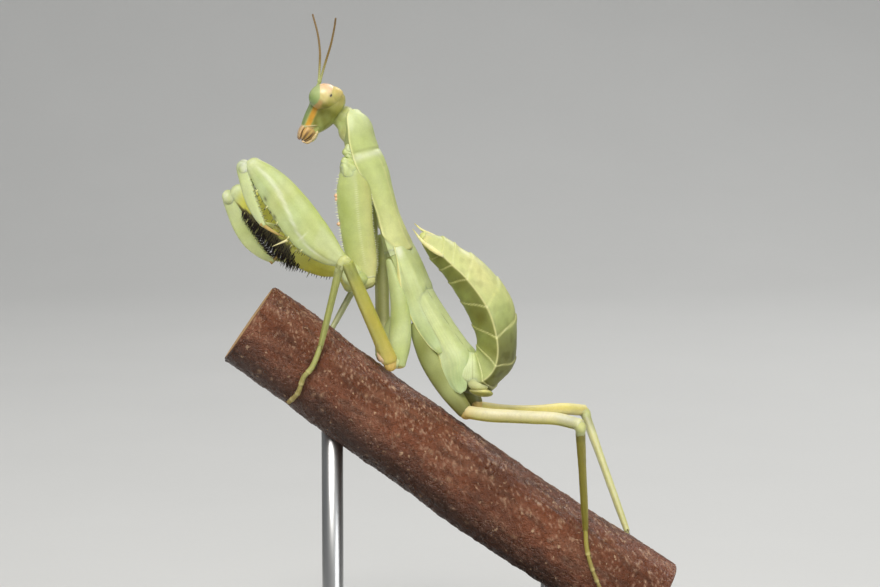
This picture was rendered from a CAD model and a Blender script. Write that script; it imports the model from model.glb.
"""Looks of the green praying mantis nymph on its cut branch and display stand.

Lengths are in millimetres and are scaled to metres as each piece is made.
+X runs down the slope of the branch, +Z is up, -Y is the animal's left (near) side.
Tints and swells are functions of (a, b, p): the share along a form, the share round it,
and its points. A tint gives colours, and a swell gives outward shifts.
"""
import math

import bpy
import numpy as np
from mathutils import Matrix, Vector


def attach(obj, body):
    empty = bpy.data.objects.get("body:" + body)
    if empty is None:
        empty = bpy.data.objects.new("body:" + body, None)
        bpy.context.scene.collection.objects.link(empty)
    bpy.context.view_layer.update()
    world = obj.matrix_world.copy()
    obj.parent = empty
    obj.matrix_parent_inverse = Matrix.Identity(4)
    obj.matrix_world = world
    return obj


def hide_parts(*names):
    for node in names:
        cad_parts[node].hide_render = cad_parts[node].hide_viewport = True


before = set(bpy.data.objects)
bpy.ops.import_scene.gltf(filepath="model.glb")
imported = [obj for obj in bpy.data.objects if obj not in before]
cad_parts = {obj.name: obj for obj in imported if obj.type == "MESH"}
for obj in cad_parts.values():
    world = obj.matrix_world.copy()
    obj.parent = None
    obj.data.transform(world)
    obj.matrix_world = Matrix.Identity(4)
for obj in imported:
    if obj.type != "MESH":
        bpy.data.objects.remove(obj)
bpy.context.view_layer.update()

MM = 0.001

# ---------------------------------------------------------------- named sizes, as in the solids
ROD_RADIUS = 1.3
RODS_X = (-13.0, 13.5)
BASE = (62.0, 40.0, 4.0, 5.0)
EYE_SIZE = (1.80, 1.60, 1.52)
HEAD_CENTRE = Vector((-13.80, 4.60, 73.95))
HEAD_TILT, HEAD_YAW, HEAD_ROLL = 27.4, 2.0, -5.0
THORAX_ROLL = 34.0
TOWARD = Vector((0.0, -1.0, 0.0))

PERCH_LINE = (
    (-22.9, 0.0, 47.90, 5.36), (-18.2, 0.0, 44.60, 5.42), (-13.2, 0.0, 40.70, 5.34),
    (-7.8, 0.0, 36.75, 5.40), (-2.4, 0.0, 32.90, 5.36), (4.8, 0.0, 27.65, 5.42),
    (12.1, 0.0, 22.65, 5.38), (19.4, 0.0, 17.85, 5.46), (25.8, 0.0, 13.70, 5.40),
)
PROTHORAX = (
    (-10.25, 4.30, 72.90, 1.30, 0.62, 1.05), (-10.10, 4.15, 72.35, 1.80, 0.98, 1.50),
    (-9.70, 3.95, 71.20, 2.28, 1.24, 1.90), (-9.43, 3.75, 69.80, 2.55, 1.24, 2.10),
    (-9.05, 3.55, 68.35, 2.62, 1.44, 2.15), (-8.53, 3.35, 66.90, 2.60, 1.72, 2.05),
    (-7.92, 3.10, 65.42, 2.40, 1.70, 1.70), (-7.35, 2.90, 63.92, 2.12, 1.54, 1.40),
    (-6.84, 2.65, 62.45, 1.96, 1.38, 1.25), (-6.37, 2.45, 61.00, 1.92, 1.32, 1.22),
    (-5.98, 2.25, 59.60, 2.00, 1.42, 1.35), (-5.50, 2.05, 58.35, 2.15, 1.42, 1.65),
    (-4.68, 1.82, 56.25, 2.28, 1.52, 2.15),
)
PTEROTHORAX = (
    (-5.00, 1.88, 57.00, 2.12, 1.36, 1.95), (-4.05, 1.60, 54.40, 1.85, 1.50, 2.25),
    (-3.00, 1.30, 51.90, 1.72, 1.52, 2.45), (-1.45, 0.90, 49.20, 1.70, 1.52, 2.50),
    (0.30, 0.45, 46.45, 1.70, 1.54, 2.65), (1.95, 0.00, 43.90, 1.72, 1.62, 2.70),
)
ABDOMEN = (
    (3.10, 44.90, 1.20, 40.40, -0.15, 2.35, 24.0), (3.85, 44.60, 3.55, 39.25, -0.40, 2.55, 18.0),
    (4.20, 44.50, 6.10, 39.35, -0.70, 2.85, 12.0), (4.35, 45.10, 8.62, 42.20, -1.00, 3.25, 7.0),
    (4.30, 46.60, 9.25, 46.30, -1.05, 3.45, 3.0), (3.15, 49.45, 8.62, 51.00, -1.00, 3.50, 0.0),
    (1.65, 52.00, 5.45, 55.15, -0.85, 3.15, 0.0), (0.35, 53.95, 2.50, 57.10, -0.65, 2.65, 0.0),
    (-1.05, 55.60, 0.80, 58.22, -0.50, 2.15, 0.0), (-2.05, 57.35, -1.45, 58.80, -0.35, 1.30, 0.0),
)
SKULL = (
    (-2.22, 1.10, 0.40, -1.05), (-1.88, 1.90, 1.20, -1.66), (-1.20, 2.42, 1.76, -2.06),
    (-0.25, 2.60, 1.95, -2.12), (0.75, 2.42, 1.76, -2.05), (1.70, 2.00, 1.70, -1.92),
    (2.60, 1.60, 1.64, -1.50), (3.25, 1.36, 1.53, -1.06), (3.75, 1.22, 1.38, -0.70),
)
EYE_PLACE = (-0.70, 0.58, 2.44)
FORE = {
    "left": {
        "root": (-10.45, 1.60, 67.80), "hip": (-8.80, -1.05, 53.10), "femur": (-10.45, -1.45, 53.90),
        "knee": (-22.64, -0.60, 66.50), "tibia": (-23.50, -0.60, 66.60),
        "tibia_end": (-21.10, -0.40, 59.85), "claw": (-18.30, -0.35, 58.20), "bow": 0.42,
    },
    "right": {
        "root": (-9.10, 5.55, 67.20), "hip": (-8.15, 4.20, 52.35), "femur": (-10.60, 4.20, 52.35),
        "knee": (-24.75, 4.20, 62.80), "tibia": (-25.45, 4.20, 62.30),
        "tibia_end": (-20.30, 4.30, 55.00), "claw": (-18.05, 4.30, 57.35), "bow": 1.15,
    },
}
WALK = {
    ("mid", "left"): {
        "root": (-5.90, 1.10, 55.20), "hip": (-5.10, -2.00, 43.20), "femur": (-5.95, -2.60, 43.55),
        "knee": (-10.95, -6.50, 55.95), "ankle": (-14.15, -5.10, 45.85), "bow": 0.75,
    },
    ("mid", "right"): {
        "root": (-3.60, 3.90, 51.20), "hip": (-6.90, 3.60, 43.30), "femur": (-6.90, 3.90, 43.60),
        "knee": (-7.20, 8.00, 57.30), "ankle": (-13.20, 4.28, 46.56), "bow": 0.0,
    },
    ("hind", "left"): {
        "root": (-1.90, 0.10, 46.40), "hip": (3.05, -1.75, 37.50), "femur": (3.05, -1.75, 37.50),
        "knee": (16.24, -14.50, 37.90), "ankle": (17.40, -4.85, 23.80), "bow": -0.75,
    },
    ("hind", "right"): {
        "root": (1.20, 3.00, 43.20), "hip": (4.30, 2.00, 37.90), "femur": (4.30, 2.00, 37.90),
        "knee": (17.84, 10.50, 35.60), "ankle": (22.85, 3.40, 21.85), "bow": 0.0,
    },
}
TARSI = {
    ("mid", "left"): ((-15.75, 80.0, 0.45), (-15.75, 97.0, 0.43), (-15.25, 117.0, 0.42),
                      (-15.30, 139.0, 0.40)),
    ("mid", "right"): ((-14.9, -62.0, 0.52), (-14.6, -84.0, 0.48), (-14.3, -106.0, 0.44)),
    ("hind", "left"): ((16.3, 68.0, 0.46), (17.5, 82.0, 0.44), (19.0, 95.0, 0.44),
                       (20.4, 106.0, 0.40)),
    ("hind", "right"): ((21.0, -58.0, 0.46), (22.0, -76.0, 0.44), (22.9, -94.0, 0.40)),
}
COXA_FORE = ((0.0, 0.52, 0.72), (0.14, 0.84, 1.0), (0.30, 1.04, 1.0), (0.75, 0.95, 0.95),
             (0.90, 0.84, 0.90), (1.0, 0.56, 0.74))
FEMUR_FORE = ((0.0, 0.56, 0.85, 0.0), (0.11, 0.38, 0.68, 0.20), (0.25, 0.71, 0.88, -0.16),
              (0.37, 0.93, 0.98, -0.28), (0.50, 1.0, 1.0, -0.16), (0.60, 0.98, 1.0, 0.14),
              (0.75, 0.87, 0.95, 0.46), (0.88, 0.69, 0.85, 0.58), (1.0, 0.46, 0.68, 0.52))
TIBIA_FORE = ((0.0, 1.12, 1.0), (0.2, 1.0, 1.0), (0.6, 0.96, 0.95), (0.85, 0.74, 0.85),
              (1.0, 0.46, 0.6))
COXA_MID = ((0.0, 0.44, 0.6), (0.27, 0.66, 0.75), (0.52, 0.84, 0.85), (0.72, 1.0, 0.9),
            (1.0, 0.72, 0.72))
COXA_HIND = ((0.0, 0.80, 0.80), (0.35, 1.0, 0.95), (0.70, 0.95, 0.92), (1.0, 0.68, 0.72))
FEMUR_MID = ((0.0, 1.15, 1.2), (0.12, 1.2, 1.2), (0.24, 0.97, 0.95), (0.5, 1.0, 1.0),
             (0.85, 0.86, 0.86), (1.0, 0.86, 0.9))
FEMUR_HIND = ((0.0, 1.0, 1.0, 0.10), (0.10, 1.10, 1.05, 0.12), (0.25, 1.0, 0.98, 0.14),
              (0.5, 0.98, 1.0, -0.14), (0.75, 0.94, 0.95, -0.40), (0.88, 0.92, 0.92, -0.40),
              (1.0, 0.88, 0.92, -0.04))
TIBIA_WALK = ((0.0, 1.34, 1.34), (0.12, 1.24, 1.24), (0.45, 1.05, 1.05), (0.92, 0.96, 0.96),
              (1.0, 0.80, 0.80))
FORE_COXA_HALF = (1.98, 1.0)
FORE_FEMUR_HALF = (2.44, 1.02)
FORE_TIBIA_HALF = (0.70, 0.46)
HALVES = {"mid": (1.42, 0.86, 0.38), "hind": (1.38, 0.86, 0.43)}       # coxa, femur, tibia
TARSUS_HALF = 0.27
FORE_PAD = (
    (0.00, -2.00, 2.00, -0.36), (0.10, -2.00, 2.80, -0.22), (0.20, -2.00, 3.45, -0.08),
    (0.33, -2.00, 3.95, -0.01), (0.43, -1.90, 4.30, -0.02), (0.52, -1.10, 4.55, -0.03),
    (0.62, -0.10, 4.65, 0.00), (0.72, 0.80, 4.62, 0.05), (0.82, 1.80, 4.35, 0.12),
    (0.905, 2.90, 3.70, 0.20),
)
HIND_PAD = (
    (0.28, -2.00, 2.20, -0.30), (0.42, -2.00, 2.50, -0.24), (0.60, -2.00, 3.20, -0.20),
    (0.80, -2.00, 3.75, -0.15), (0.90, -2.00, 4.10, -0.08), (0.98, -2.00, 4.45, 0.06),
    (1.05, -1.30, 4.68, 0.20), (1.12, 0.50, 4.78, 0.32), (1.18, 1.80, 4.70, 0.38),
    (1.235, 2.75, 4.42, 0.42), (1.275, 3.45, 3.95, 0.44),
)
PAD_THICK = 0.50
PAD_LIFT = 0.37


# ---------------------------------------------------------------- colours
def rgb(red, green, blue):
    """A colour given as 0 to 255 display values, in linear light."""
    channels = []
    for value in (red, green, blue):
        value /= 255.0
        channels.append(value / 12.92 if value <= 0.04045 else ((value + 0.055) / 1.055) ** 2.4)
    return np.array(channels)


GREEN = rgb(158, 170, 92)
PALE_GREEN = rgb(184, 194, 126)
MILK_GREEN = rgb(202, 211, 160)
RIM_YELLOW = rgb(226, 222, 158)
CREAM = rgb(220, 210, 146)
ORANGE = rgb(206, 148, 58)
GOLD = rgb(184, 168, 76)
OLIVE = rgb(122, 122, 54)
DARK_OLIVE = rgb(84, 82, 34)
WHITE = rgb(230, 231, 208)
BROWN = rgb(104, 74, 38)
DARK = rgb(30, 19, 11)
BLUE_GREEN = rgb(146, 174, 128)
FEELER_BROWN = rgb(128, 104, 48)


# ---------------------------------------------------------------- fields
def blend(a, b, t):
    """Colour a turned toward colour b by the share t."""
    t = np.clip(np.asarray(t, dtype=float), 0.0, 1.0)[..., None]
    return a * (1.0 - t) + b * t


def coats(colour, *layers):
    """A first colour under (colour, share) layers, laid on in order."""
    for over, share in layers:
        colour = blend(colour, over, share)
    return colour


def ease(x, low, high):
    """0 up to low, 1 from high, and smooth between them."""
    t = np.clip((np.asarray(x, dtype=float) - low) / (high - low), 0.0, 1.0)
    return t * t * (3.0 - 2.0 * t)


def fade(x, low, high):
    """1 up to low, 0 from high, and smooth between them."""
    return ease(-np.asarray(x, dtype=float), -high, -low)


def span(x, start, full, last, end):
    """Rises from start to full and falls from last to end."""
    return ease(x, start, full) * fade(x, last, end)


def bell(x, centre, width):
    return np.exp(-((np.asarray(x, dtype=float) - centre) / width) ** 2)


def off(b, centre=0.0):
    """Distance from a place round a closed section, where 0 and 1 are the same place."""
    return np.abs((b - centre + 0.5) % 1.0 - 0.5)


def wrap_bell(b, centre, width):
    return bell(off(b, centre), 0.0, width)


def wave(x, turns):
    return np.cos(2.0 * math.pi * turns * x)


def ripple(points, scale, seed):
    """Smooth pseudo-random field from a few crossed waves, about -1 to 1."""
    total = np.zeros(points.shape[:-1])
    maker = np.random.default_rng(seed)
    for _ in range(7):
        way = maker.normal(size=3)
        way /= np.linalg.norm(way)
        total += np.sin(points @ way * scale * maker.uniform(0.6, 1.5) + maker.uniform(0.0, 6.28))
    return total / 3.2


# ---------------------------------------------------------------- curves and sections
def lerp(a, b, t):
    return a + (b - a) * t


def unit(a, b):
    """Direction from a to b, which may be points or rows that start with a point."""
    return (Vector(b[:3]) - Vector(a[:3])).normalized()


def hermite(points, u):
    """Place at share u between the middle two of four points, on a smooth curve."""
    return [(2 * u ** 3 - 3 * u ** 2 + 1) * p1 + (u ** 3 - 2 * u ** 2 + u) * 0.5 * (p2 - p0)
            + (-2 * u ** 3 + 3 * u ** 2) * p2 + (u ** 3 - u ** 2) * 0.5 * (p3 - p1)
            for p0, p1, p2, p3 in zip(*points)]


def spline(rows, count, start=0.0, end=1.0):
    """Rows read at `count` even places on a smooth curve through them."""
    last = len(rows) - 1
    samples = []
    for k in range(count):
        t = lerp(start, end, k / (count - 1)) * last
        i = min(int(t), last - 1)
        near = (rows[max(i - 1, 0)], rows[i], rows[i + 1], rows[min(i + 2, last)])
        samples.append(hermite(near, t - i))
    return samples


def smooth_loop(outline, count):
    """Closed smooth curve through the corners of a section, `count` points round it."""
    loop = []
    for k in range(count):
        i, u = divmod(k / count * len(outline), 1.0)
        near = [outline[(int(i) + step) % len(outline)] for step in (-1, 0, 1, 2)]
        loop.append(hermite(near, u))
    return loop


def directions(points):
    last = len(points) - 1
    return [(points[min(i + 1, last)] - points[max(i - 1, 0)]).normalized()
            for i in range(last + 1)]


def side_and_up(axis, up):
    side = axis.cross(up).normalized()
    return side, side.cross(axis).normalized()


def oval(half_side, half_up, count):
    turns = [2.0 * math.pi * k / count for k in range(count)]
    return [(half_side * math.cos(t), half_up * math.sin(t)) for t in turns]


def mirrored(half):
    return list(half) + [(-s, t) for s, t in reversed(half[1:-1])]


def ring(centre, side, up, outline):
    return [centre + side * s + up * t for s, t in outline]


def thorax_outline(width, arch, depth):
    return mirrored((
        (0.0, arch), (width * 0.42, arch * 0.86), (width * 0.78, arch * 0.52), (width, 0.05),
        (width * 0.96, -0.28), (width * 0.76, -depth * 0.42), (width * 0.46, -depth * 0.86),
        (0.0, -depth)))


def abdomen_outline(width, back, belly):
    return mirrored((
        (0.0, back), (width * 0.45, back * 0.80), (width * 0.84, back * 0.34), (width, -0.02),
        (width * 0.83, -belly * 0.34), (width * 0.45, -belly * 0.82), (0.0, -belly)))


def rings_along(rows, up, section):
    """Sections set square to a path of rows, with the path's points and directions."""
    points = [Vector(row[:3]) for row in rows]
    ways = directions(points)
    rings = [ring(point, *side_and_up(way, up), section(row))
             for point, way, row in zip(points, ways, rows)]
    return rings, points, ways


DOME = (0.25, 0.45, 0.65, 0.8, 0.9, 0.97, 0.998)
LOW_DOME = (0.3, 0.55, 0.75, 0.9, 0.98)
FLAT = (0.5, 0.9, 0.998)


def closed(rings, centres, ways, reaches, first=DOME, last=None):
    """Domes of the given reaches at both ends, or a flat end where the reach is 0. The shares
    first and last say how far out the rings of the two domes lie."""
    for end, shares in ((0, first), (-1, last or first)):
        reach, edge, centre = reaches[end], rings[end], centres[end]
        way = ways[end] * (reach if end else -reach)
        for share in shares if reach else FLAT:
            shrink = math.sqrt(1.0 - share * share) if reach else 1.0 - share
            small = [centre + (p - centre) * shrink + way * share for p in edge]
            rings.insert(len(rings) if end else 0, small)
    return rings


def tube_rings(rows, up, around, along, ends=(0.0, 0.0)):
    """Rings along rows of (x, y, z, half_side, half_up)."""
    return closed(*rings_along(spline(rows, along), up,
                               lambda row: oval(row[3], row[4], around)), ends)


def ellipsoid_rings(centre, axes, sizes, rows, around, trim=0.01):
    """Rings round the second axis; trim is the share of the poles that is left open."""
    rings = []
    for r in range(rows):
        angle = math.pi * lerp(trim, 1.0 - trim, r / (rows - 1))
        middle = centre - axes[1] * math.cos(angle) * sizes[1]
        spread = math.sin(angle)
        rings.append(ring(middle, axes[0], axes[2],
                          oval(spread * sizes[0], spread * sizes[2], around)))
    return rings


def limb_rows(start, end, profile, width, thick, bow=0.0, bow_way=Vector(), count=8):
    """Rows down a limb. The profile's rows give share, width and thickness, and may add a
    shift along bow_way."""
    rows = []
    for k in range(count):
        f = k / (count - 1)
        i = 0
        while i < len(profile) - 2 and profile[i + 1][0] < f:
            i += 1
        u = float(ease(f, profile[i][0], profile[i + 1][0]))
        at = [lerp(low, high, u) for low, high in zip(profile[i], profile[i + 1])]
        shift = bow * math.sin(math.pi * f) + (at[3] if len(at) > 3 else 0.0)
        point = Vector(start).lerp(Vector(end), f) + bow_way * shift
        rows.append((*point, width * at[1], thick * at[2]))
    return rows


def row_at(rows, f, fit=1.0):
    """The row at share f, with its two half sizes scaled by fit."""
    t = f * (len(rows) - 1)
    i = min(int(t), len(rows) - 2)
    x, y, z, *halves = [lerp(a, b, t - i) for a, b in zip(rows[i], rows[i + 1])]
    return (x, y, z, *[half * fit for half in halves])


# ---------------------------------------------------------------- meshes with markings
def grid_normals(points):
    across = np.roll(points, -1, 1) - np.roll(points, 1, 1)
    normal = np.cross(across, np.gradient(points, axis=0))
    normal /= np.linalg.norm(normal, axis=2, keepdims=True) + 1e-12
    outward = points - points.mean(1, keepdims=True)
    flip = float((outward * normal).sum()) < 0.0
    return (-normal if flip else normal), flip


class Form:
    """Gathers closed tubes into one mesh, with a tint for every point and a flat map."""

    GAP = 0.3               # between the patches of the flat map
    LEAST = 0.2             # size of the smallest patch

    def __init__(self, name):
        self.name = name
        self.points, self.tints, self.faces, self.patches = [], [], [], []
        self.total = 0

    def add(self, rings, tint, swell=None):
        """rings: rows of points round the form. tint is a colour or a function."""
        points = np.array([[tuple(p) for p in row] for row in rings], dtype=float)
        count, around = points.shape[:2]
        a = np.repeat(np.linspace(0.0, 1.0, count)[:, None], around, 1)
        b = np.repeat((np.arange(around) / around)[None, :], count, 0)
        normal, flip = grid_normals(points)
        if swell is not None:
            points = points + normal * swell(a, b, points)[..., None]
        colours = tint(a, b, points) if callable(tint) else tint
        self.points.append(points.reshape(-1, 3))
        self.tints.append(np.array(np.broadcast_to(colours, points.shape)).reshape(-1, 3))
        row, step = np.meshgrid(np.arange(count - 1), np.arange(around), indexing="ij")
        spots = np.stack([step, row, step + 1, row, step + 1, row + 1, step, row + 1], -1)
        faces = list(spots.reshape(-1, 4, 2))
        for end, turned in ((0, True), (count - 1, False)):
            cap = np.stack([np.arange(around), np.full(around, end)], -1)
            faces.append(cap[::-1] if turned else cap)
        if flip:
            faces = [face[::-1] for face in faces]
        self.faces += [(self.total + face[:, 1] * around + face[:, 0] % around).tolist()
                       for face in faces]
        self.total += count * around
        girth = np.linalg.norm(points - np.roll(points, 1, 1), axis=2).sum(1).max()
        length = np.linalg.norm(np.diff(points.mean(1), axis=0), axis=1).sum()
        spots = np.concatenate(faces) / np.array([around, count - 1])
        self.patches.append((max(girth, self.LEAST), max(length, self.LEAST), spots))

    def build(self, material, slot, nodes):
        mesh = bpy.data.meshes.new(self.name)
        mesh.from_pydata((np.concatenate(self.points) * MM).tolist(), [], self.faces)
        mesh.polygons.foreach_set("use_smooth", [True] * len(mesh.polygons))
        tint = mesh.color_attributes.new("tint", "FLOAT_COLOR", "POINT")
        colours = np.ones((self.total, 4))
        colours[:, :3] = np.clip(np.concatenate(self.tints), 0.0, 1.0)
        tint.data.foreach_set("color", colours.ravel())
        flat = mesh.uv_layers.new(name="OFBake")
        flat.data.foreach_set("uv", self.flat_map().ravel())
        mesh.materials.append(material)
        mesh.update()
        piece = bpy.data.objects.new(self.name, mesh)
        bpy.context.scene.collection.objects.link(piece)
        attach(piece, "root")
        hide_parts(*nodes)

    def flat_map(self):
        """Lay the patches on shelves in the unit square, at one scale."""
        gap = self.GAP
        area = sum((girth + gap) * (length + gap) for girth, length, _ in self.patches)
        wide = max(math.sqrt(area) * 1.12, max(p[0] for p in self.patches) + 2.0 * gap)
        places = {}
        x = y = 0.5 * gap
        shelf = 0.0
        for n in sorted(range(len(self.patches)), key=lambda n: -self.patches[n][1]):
            girth, length, _ = self.patches[n]
            if x + girth > wide:
                x = 0.5 * gap
                y += shelf + gap
                shelf = 0.0
            places[n] = (x, y)
            x += girth + gap
            shelf = max(shelf, length)
        size = max(wide, y + shelf + gap)
        return np.concatenate([(np.array(places[n]) + spots * np.array([girth, length])) / size
                               for n, (girth, length, spots) in enumerate(self.patches)])


def tube(form, rows, up, around, along, ends, tint, swell=None):
    form.add(tube_rings(rows, up, around, along, ends), tint, swell)


def spike(form, root, tip, radius, base, end, bend=Vector(), dark_from=0.45, sides=7):
    """Curved thorn from root to tip, with its own base and tip colours."""
    side, up = side_and_up(unit(root, tip), Vector((0.31, 0.17, 0.93)))
    rings = []
    for share in (0.0, 0.12, 0.3, 0.5, 0.7, 0.86, 0.96, 1.0):
        half = radius * max((1.0 - share) ** 0.75, 0.05)
        if share < 0.12:
            half *= 1.12
        centre = root.lerp(tip, share) + bend * (4.0 * share * (1.0 - share))
        rings.append(ring(centre, side, up, oval(half, half, sides)))
    form.add(rings, lambda a, b, p: blend(base, end, ease(a, dark_from, dark_from + 0.3)))


def knob(form, centre, way, sizes, tint, rows=14, around=20, lump=0.0):
    """Rounded lump, with sizes across, along and square to its way."""
    side, up = side_and_up(Vector(way), Vector((0.21, -0.93, 0.3)))
    swell = (lambda a, b, p: lump * ripple(p, 2.6, 93)) if lump else None
    form.add(ellipsoid_rings(Vector(centre), (side, Vector(way), up), sizes, rows, around),
             tint, swell)


# ---------------------------------------------------------------- directions of the body
BACK = Vector((math.cos(math.radians(THORAX_ROLL)), -math.sin(math.radians(THORAX_ROLL)), 0.0))
TILT = math.radians(HEAD_TILT)
TURN = (Matrix.Rotation(math.radians(HEAD_YAW), 3, "Z")
        @ Matrix.Rotation(math.radians(HEAD_ROLL), 3, "X"))
HEAD_DOWN = TURN @ Vector((-math.sin(TILT), 0.0, -math.cos(TILT)))
HEAD_FACE = TURN @ Vector((-math.cos(TILT), 0.0, math.sin(TILT)))
HEAD_LEFT = TURN @ Vector((0.0, -1.0, 0.0))
HEAD_AXES = np.array([tuple(HEAD_DOWN), tuple(HEAD_FACE), tuple(HEAD_LEFT)])


def head_point(down, face, left):
    return HEAD_CENTRE + HEAD_DOWN * down + HEAD_FACE * face + HEAD_LEFT * left


def head_places(points):
    """Down, forward and left of points, measured on the head."""
    local = (points - np.array(tuple(HEAD_CENTRE))) @ HEAD_AXES.T
    return local[..., 0], local[..., 1], local[..., 2]


# ---------------------------------------------------------------- trunk
def thorax_rings(rows, around, along, ends):
    """Part of the trunk, with low domes of the two given reaches at its ends."""
    return closed(*rings_along(spline(rows, along), BACK,
                               lambda row: smooth_loop(thorax_outline(*row[3:]), around)),
                  ends, LOW_DOME)


def shield_margin(a, b):
    """How far a place lies behind the shield's rear edge, which sweeps forward at the sides."""
    return a - (0.972 - 0.085 * (np.minimum(off(b), 0.30) / 0.22) ** 2)


def shield_tint(a, b, p):
    away, past = off(b), shield_margin(a, b)
    top = fade(away, 0.235, 0.30)
    return coats(
        blend(PALE_GREEN, GREEN, 0.30 + 0.25 * ripple(p, 1.1, 3)),
        (MILK_GREEN, 0.75 * fade(a, 0.05, 0.30)),
        (CREAM, 0.30 * ease(a, 0.45, 0.9)),
        (blend(GREEN, PALE_GREEN, 0.4), 0.7 * (1.0 - top)),
        (WHITE, 0.40 * bell(a, 0.375, 0.022) * top),
        (RIM_YELLOW, 0.85 * bell(away, 0.222, 0.013)),
        (OLIVE, 0.18 * bell(away, 0.196, 0.012) * ease(a, 0.1, 0.3)),
        (RIM_YELLOW, 0.25 * bell(away, 0.0, 0.010) * ease(a, 0.36, 0.46)),
        (OLIVE, 0.22 * bell(a, 0.338, 0.007) * top),
        (RIM_YELLOW, 0.45 * bell(past, -0.006, 0.007)),
        (blend(MILK_GREEN, PALE_GREEN, 0.5), ease(past, 0.0, 0.008)))


def shield_swell(a, b, p):
    away, past = off(b), shield_margin(a, b)
    rim = bell(away, 0.220, 0.013)
    bow = 0.335 + 0.018 * wave(b, 1.0)
    out = 0.070 * rim * ease(a, 0.03, 0.12)
    out += 0.025 * bell(away, 0.0, 0.014) * ease(a, 0.38, 0.5)
    out -= 0.085 * bell(a, bow, 0.011) * fade(away, 0.19, 0.21)
    out -= 0.05 * bell(a, bow + 0.12, 0.010) * bell(away, 0.0, 0.09)
    out = out * fade(past, 0.0, 0.01) - 0.10 * ease(past, -0.004, 0.008)
    out += 0.06 * bell(past, -0.014, 0.014)
    return out + (0.010 * ripple(p, 7.0, 5) + 0.03 * ripple(p, 1.9, 6)) * (1.0 - rim)


def hind_trunk_tint(a, b, p):
    return coats(
        blend(blend(MILK_GREEN, GREEN, 0.25), PALE_GREEN, 0.4 + 0.3 * ripple(p, 1.4, 8)),
        (blend(GREEN, PALE_GREEN, 0.5 + 0.4 * ripple(p, 1.8, 10)), 0.7 * ease(off(b), 0.24, 0.34)),
        *[(WHITE, 0.35 * bell(a, place, 0.012)) for place in (0.07, 0.49, 0.93)])


def hind_trunk_swell(a, b, p):
    return (0.05 * bell(a, 0.46, 0.015) - 0.09 * bell(a, 0.495, 0.010)
            + 0.05 * wrap_bell(b, 0.0, 0.02) + 0.03 * ripple(p, 3.0, 9) * ease(off(b), 0.2, 0.3))


NECK = (
    (-13.05, 4.60, 72.95, 1.15, 1.14), (-12.85, 4.60, 72.88, 1.25, 1.22),
    (-12.00, 4.55, 72.48, 1.45, 1.34), (-11.22, 4.45, 71.84, 1.55, 1.50),
    (-10.60, 4.30, 70.52, 1.55, 1.52), (-10.20, 4.20, 69.50, 1.40, 1.30),
)


def neck_tint(a, b, p):
    """Olive where it leaves the head, pale by the time it meets the shield."""
    return coats(
        blend(PALE_GREEN, CREAM, 0.3 + 0.3 * ripple(p, 1.4, 91)),
        (rgb(118, 124, 46), 0.35 * ease(ripple(p, 3.0, 90), 0.1, 0.8)),
        (rgb(142, 144, 66), 0.85 * fade(a, 0.22, 0.62)))


def neck_swell(a, b, p):
    return 0.04 * wave(a, 4.0) + 0.05 * ripple(p, 2.6, 90)


ABDOMEN_ROWS = 230
SEAMS = (0.225, 0.342, 0.470, 0.580, 0.692, 0.787, 0.875)       # plate edges that show
RIDGE = 0.252                                                   # side ridge, round the section


def abdomen_rings(around):
    rings, centres = [], []
    for k, row in enumerate(spline(ABDOMEN, ABDOMEN_ROWS)):
        back_x, back_z, belly_x, belly_z, y, width, roll = row
        back = Vector((back_x, y, back_z))
        drop = Vector((belly_x, y, belly_z)) - back
        up = -drop.normalized()
        turn = Matrix.Rotation(math.radians(roll), 3, up.cross(TOWARD))
        # room left for the raised rear edges of the plates
        fit = 1.0 - 0.012 * math.sin(math.pi * k / (ABDOMEN_ROWS - 1))
        thick = drop.length * fit
        outline = smooth_loop(abdomen_outline(width * fit, thick * 0.46, thick * 0.54), around)
        centres.append(back + drop * 0.46)
        rings.append(ring(centres[-1], turn @ TOWARD, turn @ up, outline))
    return closed(rings, centres, directions(centres), (0.3, 0.35), (0.5, 0.9, 0.99),
                  (0.4, 0.7, 0.9, 0.99))


def abdomen_places(a):
    """Share of the abdomen for rows that include the closing rings at both ends."""
    return np.clip((a * (ABDOMEN_ROWS + 6) - 3) / (ABDOMEN_ROWS - 1), 0.0, 1.0)


def abdomen_line(a, away, end):
    """Distance from a plate's rear edge: a shallow V whose point lies on the side ridge."""
    reach = np.where(away < RIDGE, 0.045, 0.060) * np.abs(away - RIDGE) / 0.25
    return a - (end - 0.016 + reach)


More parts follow.
